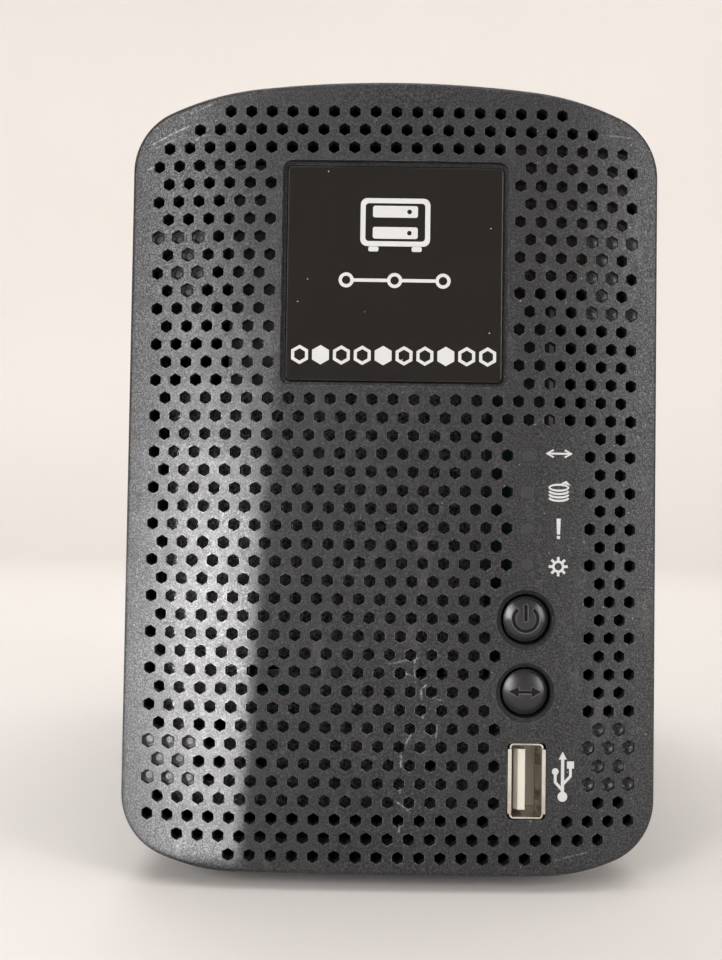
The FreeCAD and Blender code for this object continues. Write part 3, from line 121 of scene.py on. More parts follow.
def largest(tree, a, b):
    return maths(tree, "MAXIMUM", a, b)


def remap(tree, value, start, end, low=0.0, high=1.0):
    """Value moved from start..end to low..high, smooth at both ends and never outside."""
    inputs = {"Value": value, "From Min": start, "From Max": end, "To Min": low, "To Max": high}
    return add(tree, "MapRange", inputs, interpolation_type="SMOOTHSTEP").outputs["Result"]


def blend_colour(tree, factor, a, b):
    """Colour a where factor is 0 and b where it is 1."""
    mix = add(tree, "Mix", {0: factor}, data_type="RGBA")
    connect(tree, mix.inputs[6], colour4(a))
    connect(tree, mix.inputs[7], colour4(b))
    return mix.outputs[2]


def colour4(value):
    """A colour with its alpha, or the socket that gives one."""
    if isinstance(value, bpy.types.NodeSocket):
        return value
    return (*value, 1.0)


def specks(tree, place, size, radius, share):
    """Small round spots, one in each cell of about size metres, in a share of the cells."""
    cell = add(tree, "TexVoronoi", {"Vector": place, "Scale": 1.0 / size})
    near = remap(tree, cell.outputs["Distance"], radius, radius * 0.5)
    pick = add(tree, "SeparateColor", {"Color": cell.outputs["Color"]}).outputs[0]
    chosen = maths(tree, "GREATER_THAN", pick, 1.0 - share)
    return product(tree, near, chosen)


def line_marks(tree, place, segments, width, ragged):
    """Scratches: up to 1 along segments in the face's x and z in mm, fading over width metres."""
    flat = add(tree, "VectorMath", {0: place, 1: (1.0, 0.0, 1.0)}, operation="MULTIPLY").outputs[0]
    found = None
    for x0, z0, x1, z1, strength in segments:
        start = Vector((x0, 0.0, z0)) * MM
        run = Vector((x1, 0.0, z1)) * MM - start
        offset = add(tree, "VectorMath", {0: flat, 1: start}, operation="SUBTRACT").outputs[0]
        unit = run / run.length_squared
        along = add(tree, "VectorMath", {0: offset, 1: unit}, operation="DOT_PRODUCT").outputs["Value"]
        share = add(tree, "Clamp", {"Value": along}).outputs[0]
        foot = add(tree, "VectorMath", {0: run, "Scale": share}, operation="SCALE").outputs[0]
        gap = add(tree, "VectorMath", {0: offset, 1: foot}, operation="DISTANCE").outputs["Value"]
        frayed = sum_of(tree, gap, product(tree, ragged, width))
        mark = remap(tree, frayed, width * 1.3, width * 0.5, 0.0, strength)
        found = mark if found is None else largest(tree, found, mark)
    return found


def edge_mask(tree, radius):
    """Where the surface bends sharply within radius metres, and the rounded normal there."""
    rounded = add(tree, "Bevel", {"Radius": radius}, samples=4).outputs["Normal"]
    flat = add(tree, "NewGeometry").outputs["Normal"]
    along = add(tree, "VectorMath", {0: rounded, 1: flat}, operation="DOT_PRODUCT").outputs["Value"]
    return remap(tree, along, 0.995, 0.80), rounded


def bump(tree, height, depth, normal=None):
    """The normal with a height map of the given depth in metres laid on it."""
    inputs = {"Height": height, "Distance": depth, "Strength": 1.0}
    if normal is not None:
        inputs["Normal"] = normal
    return add(tree, "Bump", inputs).outputs["Normal"]


def finish_material(tree, inputs):
    """The surface shader, linked to the output."""
    surface = add(tree, "BsdfPrincipled", inputs)
    out = add(tree, "OutputMaterial")
    tree.links.new(surface.outputs[0], out.inputs["Surface"])


# ---------------------------------------------------------------- materials

ROLLED_Y = (1.0, 0.04, 1.0)
ROLLED_Z = (1.0, 1.0, 0.04)
BLACK = (0.020, 0.020, 0.021)
CHARCOAL = (0.034, 0.034, 0.036)
DUST_LOW = (8 * MM, 103 * MM)       # x and z where the dust behind the grille begins
DUST_HIGH = (20 * MM, 112 * MM)     # x and z past which it is thickest
DUST_BROWN = (0.20, 0.155, 0.115)
GRAIN = 0.26 * MM       # spark-eroded mould texture
GRAIN_DEPTH = 0.024 * MM


def moulded(name, dark, light, roughness, grain=GRAIN, depth=GRAIN_DEPTH, dust=0.06, edge=0.12 * MM,
            edge_tint=(0.20, 0.20, 0.20), wear_and_highlight=0.5, rubbed_and_highlight=(0.45, 0.70)):
    """Moulded plastic: mould grain, uneven colour, dust in the grain, and paler edges: rubbed wear on most
    parts, a painted highlight on the buttons.
    """
    material, tree = new_material(name)
    place = place_of(tree)
    fine = noise(tree, place, grain, 2.0, 0.6)
    broad = noise(tree, place, 16 * MM, 3.0, 0.55)
    colour = blend_colour(tree, broad, dark, light)
    dirt = specks(tree, place, 1.3 * MM, 0.11, dust)
    colour = blend_colour(tree, product(tree, dirt, 0.7), colour, (0.42, 0.40, 0.37))
    edges, rounded = edge_mask(tree, edge)
    # The paler edges are rubbed wear on most parts; on the buttons, where this is strong, they are a
    # painted highlight on the cap rims and the edges of their sunk symbols.
    rub_and_highlight = remap(tree, noise(tree, place, 2.2 * MM, 3.0, 0.6), *rubbed_and_highlight)
    colour = blend_colour(tree, product(tree, product(tree, edges, rub_and_highlight), wear_and_highlight), colour, edge_tint)
    patches = noise(tree, place, 5 * MM, 3.0)
    finish_material(tree, {
        "Base Color": colour,
        "Roughness": remap(tree, patches, 0.25, 0.75, roughness - 0.06, roughness + 0.08),
        "Normal": bump(tree, fine, depth, rounded),
    })
    return material


CAP_DOME = 8.69 * MM     # radius of the spheres that the buttons' tops are cut from
CAP_GROOVE = 0.25 * MM   # nearly the depth of their symbols


def dull_grooves(material, caps):
    """Takes the shine off the sunk symbols of domed caps, which are rough and hold dirt."""
    tree = material.node_tree
    place = place_of(tree)
    near = None
    for cap in caps:
        low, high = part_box(cap)
        centre = ((low[0] + high[0]) / 2, low[1] + CAP_DOME, (low[2] + high[2]) / 2)
        gap = add(tree, "VectorMath", {0: place, 1: centre}, operation="DISTANCE").outputs["Value"]
        near = gap if near is None else maths(tree, "MINIMUM", near, gap)
    surface = next(node for node in tree.nodes if node.type == "BSDF_PRINCIPLED")
    shine = remap(tree, near, CAP_DOME - CAP_GROOVE, CAP_DOME - CAP_GROOVE / 4, 0.04, 0.5)
    connect(tree, surface.inputs["Specular IOR Level"], shine)


# Scratches on the face, as x0, z0, x1, z1 in mm and how strong. z is the height over the table.
FACE_SCRATCHES = [
    (-43.8, 132.2, -37.4, 135.0, 0.9),
    (-43.2, 131.4, -39.6, 133.0, 0.5),
    (-44.9, 127.5, -43.0, 128.3, 0.7),
    (-38.1, 131.2, -34.6, 133.3, 0.6),
    (-36.9, 137.4, -33.0, 138.9, 0.4),
    (36.9, 134.4, 42.0, 134.3, 0.3),
    (4.4, 41.9, 4.5, 37.7, 0.9),
    (-1.5, 38.9, -1.4, 37.4, 1.0),
    (0.0, 39.8, 5.1, 40.9, 0.4),
    (2.3, 38.3, 4.1, 37.7, 0.7),
    (5.7, 35.6, 6.4, 36.1, 1.0),
    (5.6, 35.2, 5.7, 33.7, 0.8),
    (7.7, 33.9, 9.8, 33.4, 0.6),
    (5.9, 32.7, 6.0, 30.5, 0.9),
    (8.4, 29.2, 8.3, 27.1, 0.5),
    (4.1, 27.9, 2.6, 25.1, 0.6),
    (2.3, 24.1, 2.2, 22.0, 0.8),
    (2.1, 18.6, 2.1, 17.4, 1.0),
    (1.8, 15.7, 3.9, 14.1, 0.8),
    (2.1, 11.9, 2.0, 10.7, 0.7),
    (29.5, 6.0, 35.0, 7.2, 0.3),
]

# The edges of the holes are rubbed pale along an upright streak.
RUBBED_X = 4.5 * MM
RUBBED_TOP = 48 * MM


def grained_plastic(name, face_marks=False):
    """The casing's black plastic: sparkling grain, smears, and dust towards the right.

    With face_marks it also has the scratches and the rubbed streak of the bezel's face.
    """
    material, tree = new_material(name)
    place = place_of(tree)
    fine = noise(tree, place, GRAIN, 1.0, 0.6)
    coarse = noise(tree, place, 0.55 * MM, 2.0, 0.6)
    broad = noise(tree, place, 18 * MM, 3.0, 0.55)
    colour = blend_colour(tree, broad, (0.0085, 0.0085, 0.0095), (0.015, 0.015, 0.0165))
    glint = product(tree, remap(tree, fine, 0.44, 0.72), remap(tree, coarse, 0.30, 0.62, 0.35, 1.0))
    colour = blend_colour(tree, product(tree, glint, 0.45), colour, (0.080, 0.080, 0.085))

    axes = add(tree, "SeparateXYZ", {"Vector": place})
    right = remap(tree, axes.outputs["X"], -10 * MM, 45 * MM, 0.35, 1.0)
    small = specks(tree, place, 0.9 * MM, 0.15, 0.10)
    large = specks(tree, place, 3.2 * MM, 0.06, 0.25)
    dirt = product(tree, largest(tree, small, large), right)
    colour = blend_colour(tree, product(tree, dirt, 0.65), colour, (0.42, 0.40, 0.37))

    smears = remap(tree, noise(tree, place, 6 * MM, 4.0, 0.65, (1.6, 1.0, 0.45)), 0.56, 0.75, 0.0, 0.14)
    colour = blend_colour(tree, smears, colour, (0.16, 0.16, 0.16))

    edges, rounded = edge_mask(tree, 0.16 * MM)
    edge_tint = product(tree, remap(tree, noise(tree, place, 2.6 * MM, 3.0, 0.6), 0.46, 0.66), 0.45)
    if face_marks:
        ragged = noise(tree, place, 0.6 * MM, 3.0, 0.75)
        broken = remap(tree, noise(tree, place, 1.0 * MM, 3.0, 0.7), 0.42, 0.56, 0.15, 1.0)
        scratch = product(tree, broken, line_marks(tree, place, FACE_SCRATCHES, 0.34 * MM, ragged))
        colour = blend_colour(tree, product(tree, scratch, 0.7), colour, (0.34, 0.34, 0.335))
        beside = maths(tree, "ABSOLUTE", maths(tree, "SUBTRACT", axes.outputs["X"], RUBBED_X))
        streak = product(tree, remap(tree, beside, 9 * MM, 3 * MM),
                         remap(tree, axes.outputs["Z"], RUBBED_TOP + 6 * MM, RUBBED_TOP - 6 * MM))
        edge_tint = largest(tree, edge_tint, product(tree, streak, remap(tree, coarse, 0.42, 0.6)))
    colour = blend_colour(tree, product(tree, edges, edge_tint), colour, (0.42, 0.42, 0.41))

    height = sum_of(tree, fine, product(tree, coarse, 0.8))
    finish_material(tree, {
        "Base Color": colour,
        "Roughness": remap(tree, fine, 0.30, 0.70, 0.50, 0.34),
        "Specular IOR Level": remap(tree, fine, 0.35, 0.68, 0.26, 0.54),
        "Normal": bump(tree, height, 0.030 * MM, rounded),
    })
    return material


def polished_plastic(name, colour, dust, roughness=0.05):
    """Polished black plastic with hairline scratches, dust specks and a painted highlight along its edges.
    """
    material, tree = new_material(name)
    place = place_of(tree)
    spots = specks(tree, place, 1.7 * MM, 0.085, dust)
    fluff = specks(tree, place, 4.5 * MM, 0.04, dust * 2.5)
    dirt = largest(tree, spots, fluff)
    broad = noise(tree, place, 12 * MM, 2.0)
    base = blend_colour(tree, broad, colour, tuple(c * 1.5 for c in colour))
    base = blend_colour(tree, product(tree, dirt, 0.8), base, (0.52, 0.50, 0.46))
    hair = noise(tree, place, 0.30 * MM, 1.0, 0.5, (1.0, 1.0, 0.04))
    lines = remap(tree, hair, 0.66, 0.72, 0.0, 0.05)
    edges, rounded = edge_mask(tree, 0.25 * MM)
    # The paler line along the edges is a painted highlight.
    base = blend_colour(tree, product(tree, edges, 0.5), base, (0.10, 0.098, 0.095))
    rough = sum_of(tree, product(tree, dirt, 0.5), sum_of(tree, lines, roughness))
    finish_material(tree, {
        "Base Color": base,
        "Roughness": rough,
        "Specular IOR Level": 0.38,
        "Normal": bump(tree, noise(tree, place, 5 * MM, 1.0), 0.004 * MM, rounded),
    })
    return material


def metal(name, colour, roughness, lay=None, tarnish_and_reflection=0.3, stain_and_reflection=(0.30, 0.26, 0.21)):
    """Metal: fine lines along its lay where it was rolled or brushed, dull blotches towards a stain colour,
    bright edges. The blotches are tarnish, and on the USB socket a painted warm reflection.
    """
    material, tree = new_material(name)
    place = place_of(tree)
    fine = noise(tree, place, 0.22 * MM, 2.0, 0.6, lay)
    blotch = noise(tree, place, 9 * MM, 4.0, 0.6)
    # Blotches towards the stain colour: tarnish, and on the USB socket a painted warm reflection.
    base = blend_colour(tree, remap(tree, blotch, 0.40, 0.75, 0.0, tarnish_and_reflection), colour, stain_and_reflection)
    base = blend_colour(tree, remap(tree, fine, 0.3, 0.7, 0.0, 0.25), base, tuple(c * 0.72 for c in colour))
    edges, rounded = edge_mask(tree, 0.10 * MM)
    base = blend_colour(tree, product(tree, edges, 0.5), base, tuple(min(1.0, c * 1.25) for c in colour))
    finish_material(tree, {
        "Base Color": base,
        "Metallic": 1.0,
        "Roughness": remap(tree, sum_of(tree, blotch, fine), 0.7, 1.3, roughness - 0.05, roughness + 0.12),
        "Normal": bump(tree, fine, 0.006 * MM, rounded),
    })
    return material


def dust_cover(tree, axes):
    """Where dust has settled behind the grille: 1 at the upper right, 0 further left or lower."""
    across = remap(tree, axes.outputs["X"], DUST_LOW[0], DUST_HIGH[0])
    up = remap(tree, axes.outputs["Z"], DUST_LOW[1], DUST_HIGH[1])
    return product(tree, across, up)


def dusty(name, dark, light, roughness, metallic=0.0):
    """A dark coated part behind the grille: rough skin, with brown dust towards its upper right."""
    material, tree = new_material(name)
    place = place_of(tree)
    fine = noise(tree, place, 0.35 * MM, 3.0, 0.65)
    broad = noise(tree, place, 12 * MM, 3.0)
    base = blend_colour(tree, broad, dark, light)
    base = blend_colour(tree, remap(tree, fine, 0.48, 0.72, 0.0, 0.55), base, tuple(c * 2.6 for c in light))
    axes = add(tree, "SeparateXYZ", {"Vector": place})
    ahead = remap(tree, axes.outputs["Y"], -60 * MM, -80 * MM)
    layer = product(tree, dust_cover(tree, axes), ahead)
    patchy = remap(tree, noise(tree, place, 1.1 * MM, 3.0, 0.7), 0.30, 0.62)
    base = blend_colour(tree, product(tree, layer, patchy), base, DUST_BROWN)
    finish_material(tree, {
        "Base Color": base,
        "Metallic": metallic,
        "Roughness": remap(tree, broad, 0.2, 0.8, roughness - 0.06, roughness + 0.06),
        "Normal": bump(tree, fine, 0.05 * MM),
    })
    return material


def circuit_board(name, mask, copper):
    """Solder mask over copper: fine square-cornered tracks, vias, and a satin skin."""
    material, tree = new_material(name)
    place = place_of(tree)
    fine = noise(tree, place, 0.5 * MM, 2.0)
    tracks = add(tree, "TexBrick", {
        "Vector": place, "Color1": (0, 0, 0, 1), "Color2": (0.35, 0.35, 0.35, 1), "Mortar": (1, 1, 1, 1),
        "Scale": 1.0 / (5 * MM), "Mortar Size": 0.018, "Bias": -0.2, "Brick Width": 0.9, "Row Height": 0.28,
    }, offset=0.37, squash=1.0).outputs["Color"]
    vias = specks(tree, place, 2.4 * MM, 0.13, 0.5)
    base = blend_colour(tree, tracks, mask, copper)
    base = blend_colour(tree, vias, base, (0.55, 0.50, 0.30))
    finish_material(tree, {
        "Base Color": base,
        "Roughness": remap(tree, fine, 0.2, 0.8, 0.28, 0.42),
        "Coat Weight": 0.25,
        "Coat Roughness": 0.2,
        "Normal": bump(tree, sum_of(tree, fine, tracks), 0.01 * MM),
    })
    return material


def filter_foam(name):
    """Open-cell foam: a net of thin walls round pores that are painted dark as shade, with painted glints,
    brown with dust at the upper right.
    """
    material, tree = new_material(name)
    place = place_of(tree)
    pores = {"Vector": place, "Scale": 1.0 / (0.75 * MM)}
    cell = add(tree, "TexVoronoi", pores, feature="DISTANCE_TO_EDGE")
    wall = remap(tree, cell.outputs["Distance"], 0.22, 0.04)
    fine = noise(tree, place, 0.3 * MM, 2.0, 0.6)
    # The dark pores are painted shade in the hollows of the foam.
    base = blend_colour(tree, wall, (0.085, 0.085, 0.088), (0.34, 0.338, 0.335))
    # The pale fine patches are painted glints.
    base = blend_colour(tree, remap(tree, fine, 0.50, 0.70, 0.0, 0.7), base, (0.60, 0.59, 0.58))
    axes = add(tree, "SeparateXYZ", {"Vector": place})
    patchy = remap(tree, noise(tree, place, 1.4 * MM, 3.0, 0.7), 0.28, 0.62)
    base = blend_colour(tree, product(tree, dust_cover(tree, axes), patchy), base, DUST_BROWN)
    finish_material(tree, {
        "Base Color": base,
        "Roughness": remap(tree, fine, 0.2, 0.8, 0.75, 0.92),
        "Specular IOR Level": 0.25,
        "Normal": bump(tree, wall, 0.25 * MM),
    })
    return material


def rubber(name, colour):
    """Matt rubber with pale bloom and fine pits."""
    material, tree = new_material(name)
    place = place_of(tree)
    bloom = noise(tree, place, 3 * MM, 4.0, 0.6)
    pale = tuple(c * 2.4 for c in colour)
    base = blend_colour(tree, remap(tree, bloom, 0.4, 0.8, 0.0, 0.5), colour, pale)
    finish_material(tree, {
        "Base Color": base,
        "Roughness": remap(tree, bloom, 0.2, 0.8, 0.65, 0.85),
        "Sheen Weight": 0.15,
        "Normal": bump(tree, noise(tree, place, 0.3 * MM, 2.0), 0.03 * MM),
    })
    return material


def windings(name):
    """Enamelled wire wound round the poles: fine ridges, with painted shade in the grooves between turns
    and a painted shine on their crests.
    """
    material, tree = new_material(name)
    place = place_of(tree)
    wire = add(tree, "TexWave", {"Vector": place, "Scale": 1.0 / (2.2 * MM), "Distortion": 1.5},
               bands_direction="Y").outputs["Fac"]
    # The colour follows the ridges: painted shade in the grooves, a painted shine on the crests.
    base = blend_colour(tree, wire, (0.42, 0.16, 0.05), (0.80, 0.42, 0.20))
    finish_material(tree, {
        "Base Color": base,
        "Metallic": 0.8,
        "Roughness": remap(tree, noise(tree, place, 2 * MM), 0.2, 0.8, 0.25, 0.4),
        "Normal": bump(tree, wire, 0.08 * MM),
    })
    return material


def ribbon_cable(name):
    """Flat flexible cable: bright conductors under a bluish film."""
    material, tree = new_material(name)
    place = place_of(tree)
    lines = add(tree, "TexWave", {"Vector": place, "Scale": 1.0 / (3.2 * MM), "Distortion": 0.0},
                bands_direction="X", wave_profile="SAW").outputs["Fac"]
    base = blend_colour(tree, remap(tree, lines, 0.35, 0.45), (0.30, 0.36, 0.45), (0.78, 0.80, 0.80))
    finish_material(tree, {
        "Base Color": base,
        "Roughness": remap(tree, noise(tree, place, 4 * MM), 0.2, 0.8, 0.15, 0.3),
        "Normal": bump(tree, lines, 0.01 * MM),
    })
    return material


def ink(name, colour):
    """Screen-printed ink: slightly broken over the grain below it."""
    material, tree = new_material(name)
    place = place_of(tree)
    fine = noise(tree, place, 0.28 * MM, 2.0, 0.6)
    thin = tuple(c * 0.62 for c in colour)
    base = blend_colour(tree, remap(tree, fine, 0.60, 0.80, 0.0, 0.35), colour, thin)
    finish_material(tree, {
        "Base Color": base,
        "Roughness": remap(tree, fine, 0.2, 0.8, 0.45, 0.6),
        "Normal": bump(tree, fine, 0.012 * MM),
    })
    return material


materials = {
    "bezel_plastic": grained_plastic("bezel_plastic", face_marks=True),
    "casing_plastic": grained_plastic("casing_plastic"),
    "badge_gloss": polished_plastic("badge_gloss", (0.0046, 0.0036, 0.0031), 0.10),
    # On the buttons the strongly paler edges are a painted highlight on the cap rims and the edges of their
    # sunk symbols.
    "button_plastic": moulded("button_plastic", (0.009, 0.009, 0.0095), (0.016, 0.016, 0.017), 0.24,
                              grain=0.5 * MM, depth=0.006 * MM, dust=0.05, wear_and_highlight=0.9, edge=0.22 * MM,
                              edge_tint=(0.19, 0.19, 0.19), rubbed_and_highlight=(0.05, 0.45)),
    "window_smoke": polished_plastic("window_smoke", (0.020, 0.020, 0.022), 0.03, 0.42),
    "led_body": moulded("led_body", (0.70, 0.68, 0.56), (0.82, 0.80, 0.70), 0.25,
                        depth=0.002 * MM, dust=0.0, edge_tint=(0.9, 0.9, 0.8)),
    "switch_black": moulded("switch_black", BLACK, CHARCOAL, 0.45),
    "switch_stem": moulded("switch_stem", (0.74, 0.70, 0.62), (0.84, 0.80, 0.72), 0.4,
                           depth=0.004 * MM, edge_tint=(0.9, 0.88, 0.8)),
    "board_green": circuit_board("board_green", (0.007, 0.075, 0.040), (0.02, 0.15, 0.08)),
    "screw_steel": metal("screw_steel", (0.62, 0.61, 0.57), 0.32),
    "screw_black": metal("screw_black", (0.06, 0.06, 0.062), 0.42, tarnish_and_reflection=0.15),
    # The socket's heavy brown blotches are a painted warm reflection.
    "usb_steel": metal("usb_steel", (0.76, 0.73, 0.68), 0.16,
                       lay=ROLLED_Y, tarnish_and_reflection=0.95, stain_and_reflection=(0.30, 0.21, 0.12)),
    "usb_insert": moulded("usb_insert", (0.50, 0.48, 0.41), (0.58, 0.56, 0.49), 0.34,
                          depth=0.004 * MM, dust=0.02, edge_tint=(0.86, 0.86, 0.8)),
    "contact_gold": metal("contact_gold", (0.83, 0.62, 0.26), 0.22, lay=ROLLED_Y, tarnish_and_reflection=0.2),
    "foot_rubber": rubber("foot_rubber", (0.020, 0.020, 0.020)),
    "cage_steel": dusty("cage_steel", (0.030, 0.030, 0.032), (0.050, 0.050, 0.052), 0.5),
    "drive_casting": dusty("drive_casting", (0.045, 0.045, 0.048), (0.075, 0.075, 0.078), 0.48, 0.2),
    "drive_lid": metal("drive_lid", (0.46, 0.46, 0.47), 0.34, lay=ROLLED_Y),
    "platter": metal("platter", (0.85, 0.85, 0.87), 0.10, tarnish_and_reflection=0.0),
    "arm_aluminium": metal("arm_aluminium", (0.72, 0.72, 0.71), 0.3, lay=ROLLED_Z),
    "yoke_steel": metal("yoke_steel", (0.58, 0.58, 0.58), 0.28),
    "magnet": metal("magnet", (0.60, 0.60, 0.62), 0.18),
    "drive_board": circuit_board("drive_board", (0.008, 0.07, 0.11), (0.02, 0.14, 0.20)),
    "chip_black": moulded("chip_black", (0.022, 0.022, 0.024), CHARCOAL, 0.5,
                          grain=0.12 * MM, depth=0.010 * MM),
    "heatsink_aluminium": metal("heatsink_aluminium", (0.40, 0.40, 0.42), 0.38, lay=ROLLED_Y),
    "capacitor_sleeve": polished_plastic("capacitor_sleeve", (0.030, 0.026, 0.085), 0.03, 0.2),
    "cell_steel": metal("cell_steel", (0.74, 0.73, 0.70), 0.22),
    "connector_black": moulded("connector_black", BLACK, CHARCOAL, 0.38, depth=0.008 * MM),
    "jack_shield": metal("jack_shield", (0.70, 0.69, 0.66), 0.27, lay=ROLLED_Y, tarnish_and_reflection=0.35),
    "pin_metal": metal("pin_metal", (0.80, 0.79, 0.75), 0.18),
    "ribbon": ribbon_cable("ribbon"),
    "panel_paint": moulded("panel_paint", (0.022, 0.022, 0.023), CHARCOAL, 0.46,
                           grain=0.45 * MM, depth=0.03 * MM, wear_and_highlight=0.7, edge_tint=(0.42, 0.42, 0.42)),
    "fan_plastic": moulded("fan_plastic", (0.019, 0.019, 0.020), (0.032, 0.032, 0.034), 0.4,
                           depth=0.006 * MM),
    "shaft_steel": metal("shaft_steel", (0.68, 0.68, 0.67), 0.22),
    "stator_copper": windings("stator_copper"),
    "filter_foam": filter_foam("filter_foam"),
    "lead_sleeve": rubber("lead_sleeve", (0.028, 0.028, 0.028)),
}
dull_grooves(materials["button_plastic"], ("power_button", "transfer_button"))
for part in record["subparts"]:
    skin = materials[part["material_slot"]]
    for held in nodes[part["node"]].material_slots:
        held.material = skin

white_ink = ink("white_ink", (0.46, 0.46, 0.455))


# ---------------------------------------------------------------- flat marks

# Outlines are lists of points in mm. A shape is an outline and the holes in it.

def ellipse(x, z, wide, tall, points=28):
    """Closed outline of an ellipse, wide and tall being its half axes."""
    angles = [math.tau * i / points for i in range(points)]
    return [(x + wide * math.cos(a), z + tall * math.sin(a)) for a in angles]


def circle(x, z, radius, points=28):
    return ellipse(x, z, radius, radius, points)


def arc_points(x, z, wide, tall, start, end, points=18):
    """Points along an open arc, with both of its ends."""
    angles = [start + (end - start) * i / points for i in range(points + 1)]
    return [(x + wide * math.cos(a), z + tall * math.sin(a)) for a in angles]


def rectangle(x0, z0, x1, z1):
    return [(x0, z0), (x1, z0), (x1, z1), (x0, z1)]


def rounded_box(x0, z0, x1, z1, radius):
    """Outline of a rectangle with round corners."""
    centres = [(x1 - radius, z1 - radius, 0.0), (x0 + radius, z1 - radius, 0.25),
               (x0 + radius, z0 + radius, 0.5), (x1 - radius, z0 + radius, 0.75)]
    outline = []
    for x, z, turns in centres:
        outline += arc_points(x, z, radius, radius, turns * math.tau, (turns + 0.25) * math.tau, 5)
    return outline


def hexagon(x, z, flat):
    """Outline of a hexagon that stands on a corner, flat mm across its sides."""
    radius = flat / math.sqrt(3)
    return [(x + radius * math.cos(a), z + radius * math.sin(a))
            for a in (math.radians(30 + 60 * i) for i in range(6))]


def stroke(points, width):
    """Outline of a line of even width along the points, with square ends."""
    left, right = [], []
    for i, (x, z) in enumerate(points):
        before = Vector(points[max(i - 1, 0)])
        after = Vector(points[min(i + 1, len(points) - 1)])
        run = (after - before).normalized()
        side = Vector((-run.y, run.x)) * width / 2
        left.append((x + side.x, z + side.y))
        right.append((x - side.x, z - side.y))
    return left + right[::-1]


def filled(name, loops, thickness):
    """A flat mesh in x and z of one shape, in metres: an outline and the holes in it."""
    curve = bpy.data.curves.new(name, "CURVE")
    curve.dimensions = "2D"
    curve.fill_mode = "BOTH"
    curve.extrude = thickness / 2
    for loop in loops:
        spline = curve.splines.new("POLY")
        spline.points.add(len(loop) - 1)
        for point, (x, z) in zip(spline.points, loop):
            point.co = (x * MM, z * MM, 0.0, 1.0)
        spline.use_cyclic_u = True
    holder = bpy.data.objects.new(name, curve)
    mesh = bpy.data.meshes.new_from_object(holder)
    bpy.data.objects.remove(holder)
    bpy.data.curves.remove(curve)
    return mesh


INK_THICKNESS = 0.03 * MM


def printed(name, shapes, where, skin):
    """One mark of several shapes. where gives a point on the surface and the way out of it."""
    joined = bmesh.new()
    for number, loops in enumerate(shapes):
        mesh = filled(name, loops, INK_THICKNESS)
        lift = INK_THICKNESS * (0.75 + 0.04 * number)
        for vertex in mesh.vertices:
            point, out = where(vertex.co.x, vertex.co.y)
            vertex.co = point + out * (lift + vertex.co.z)
        joined.from_mesh(mesh)
        bpy.data.meshes.remove(mesh)
    bmesh.ops.recalc_face_normals(joined, faces=joined.faces)
    mesh = bpy.data.meshes.new(name)
    joined.to_mesh(mesh)
    joined.free()
    mesh.materials.append(skin)
    piece = bpy.data.objects.new(name, mesh)
    bpy.context.scene.collection.objects.link(piece)
    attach(piece, "chassis")


bezel_tree = BVHTree.FromObject(nodes["front_bezel"], bpy.context.evaluated_depsgraph_get())


def on_face(x0, z0):
    """A place on the curved front face, at x and z in metres from the point x0, z0."""
    def where(x, z):
        start = Vector((x0 + x, cad_box[0].y - 0.05, z0 + z))
        hit, normal, _, _ = bezel_tree.ray_cast(start, Vector((0, 1, 0)))
        return hit, normal
    return where


def on_plane(x0, y, z0, out, flip=1.0):
    """A place on an upright flat face at y. flip is -1 on a face that is seen from behind."""
    def where(x, z):
        return Vector((x0 + flip * x, y, z0 + z)), Vector((0, out, 0))
    return where


# ---------------------------------------------------------------- printed symbols

def double_arrow(half, head, line):
    """A line with an open arrowhead at both ends."""
    rise = head * 0.5
    shapes = [[stroke([(-half, 0), (half, 0)], line)]]
    for side in (-1, 1):
        barb = [(side * (half - head), rise), (side * half, 0), (side * (half - head), -rise)]
        shapes.append([stroke(barb, line)])
    return shapes


def disc_stack(wide, tall, step, line):
    """Stacked discs with a small arrowhead that says they turn."""
    top = 1.5 * step
    shapes = [[ellipse(0, top, wide, tall), ellipse(0, top, wide - line, tall - line)]]
    for level in (1, 2, 3):
        rim = arc_points(0, top - level * step, wide - line / 2, tall - line / 2, math.pi, math.tau)
        shapes.append([stroke(rim, line)])
    shapes.append([[(0.0, top + tall * 0.72), (1.3, top + tall * 1.75), (2.15, top + tall * 0.55),
                    (1.5, top + tall * 0.78), (0.9, top + tall * 1.0)]])
    return shapes


def alert_mark():
    """A tapered bar over a dot."""
    return [[[(-0.37, 1.75), (0.37, 1.75), (0.27, -1.05), (-0.27, -1.05)]],
            [rounded_box(-0.29, -1.85, 0.29, -1.30, 0.14)]]


GEAR_TEETH = 8


def gear(outer, ring, bore, tooth):
    """A toothed ring."""
    shapes = [[circle(0, 0, ring), circle(0, 0, bore)]]
    for i in range(GEAR_TEETH):
        angle = math.tau * i / GEAR_TEETH
        ends = [(r * math.cos(angle), r * math.sin(angle)) for r in (ring - 0.08, outer)]
        shapes.append([stroke(ends, tooth)])
    return shapes


def trident(height, line):
    """The three-armed sign for a serial socket: disc at the foot, arrow, side disc and side square."""
    half = height / 2
    return [
        [circle(0, -half + 0.87, 0.87)],
        [stroke([(0, -half + 0.8), (0, half - 1.2)], line)],
        [[(-0.72, half - 1.35), (0.72, half - 1.35), (0, half)]],
        [stroke([(0, -half + 2.0), (-1.3, -half + 3.4), (-1.3, 0.9)], line * 0.9)],
        [circle(-1.3, 0.9, 0.6)],
        [stroke([(0, -half + 3.0), (1.4, -half + 4.4), (1.4, 1.9)], line * 0.9)],
        [rectangle(0.77, 1.4, 2.03, 2.65)],
    ]


SYMBOL_GAP = 5.45 * MM      # from the middle of a window to the middle of its symbol
SOCKET_SYMBOL = (6.35 * MM, 0.85 * MM)      # from the middle of the socket to its symbol

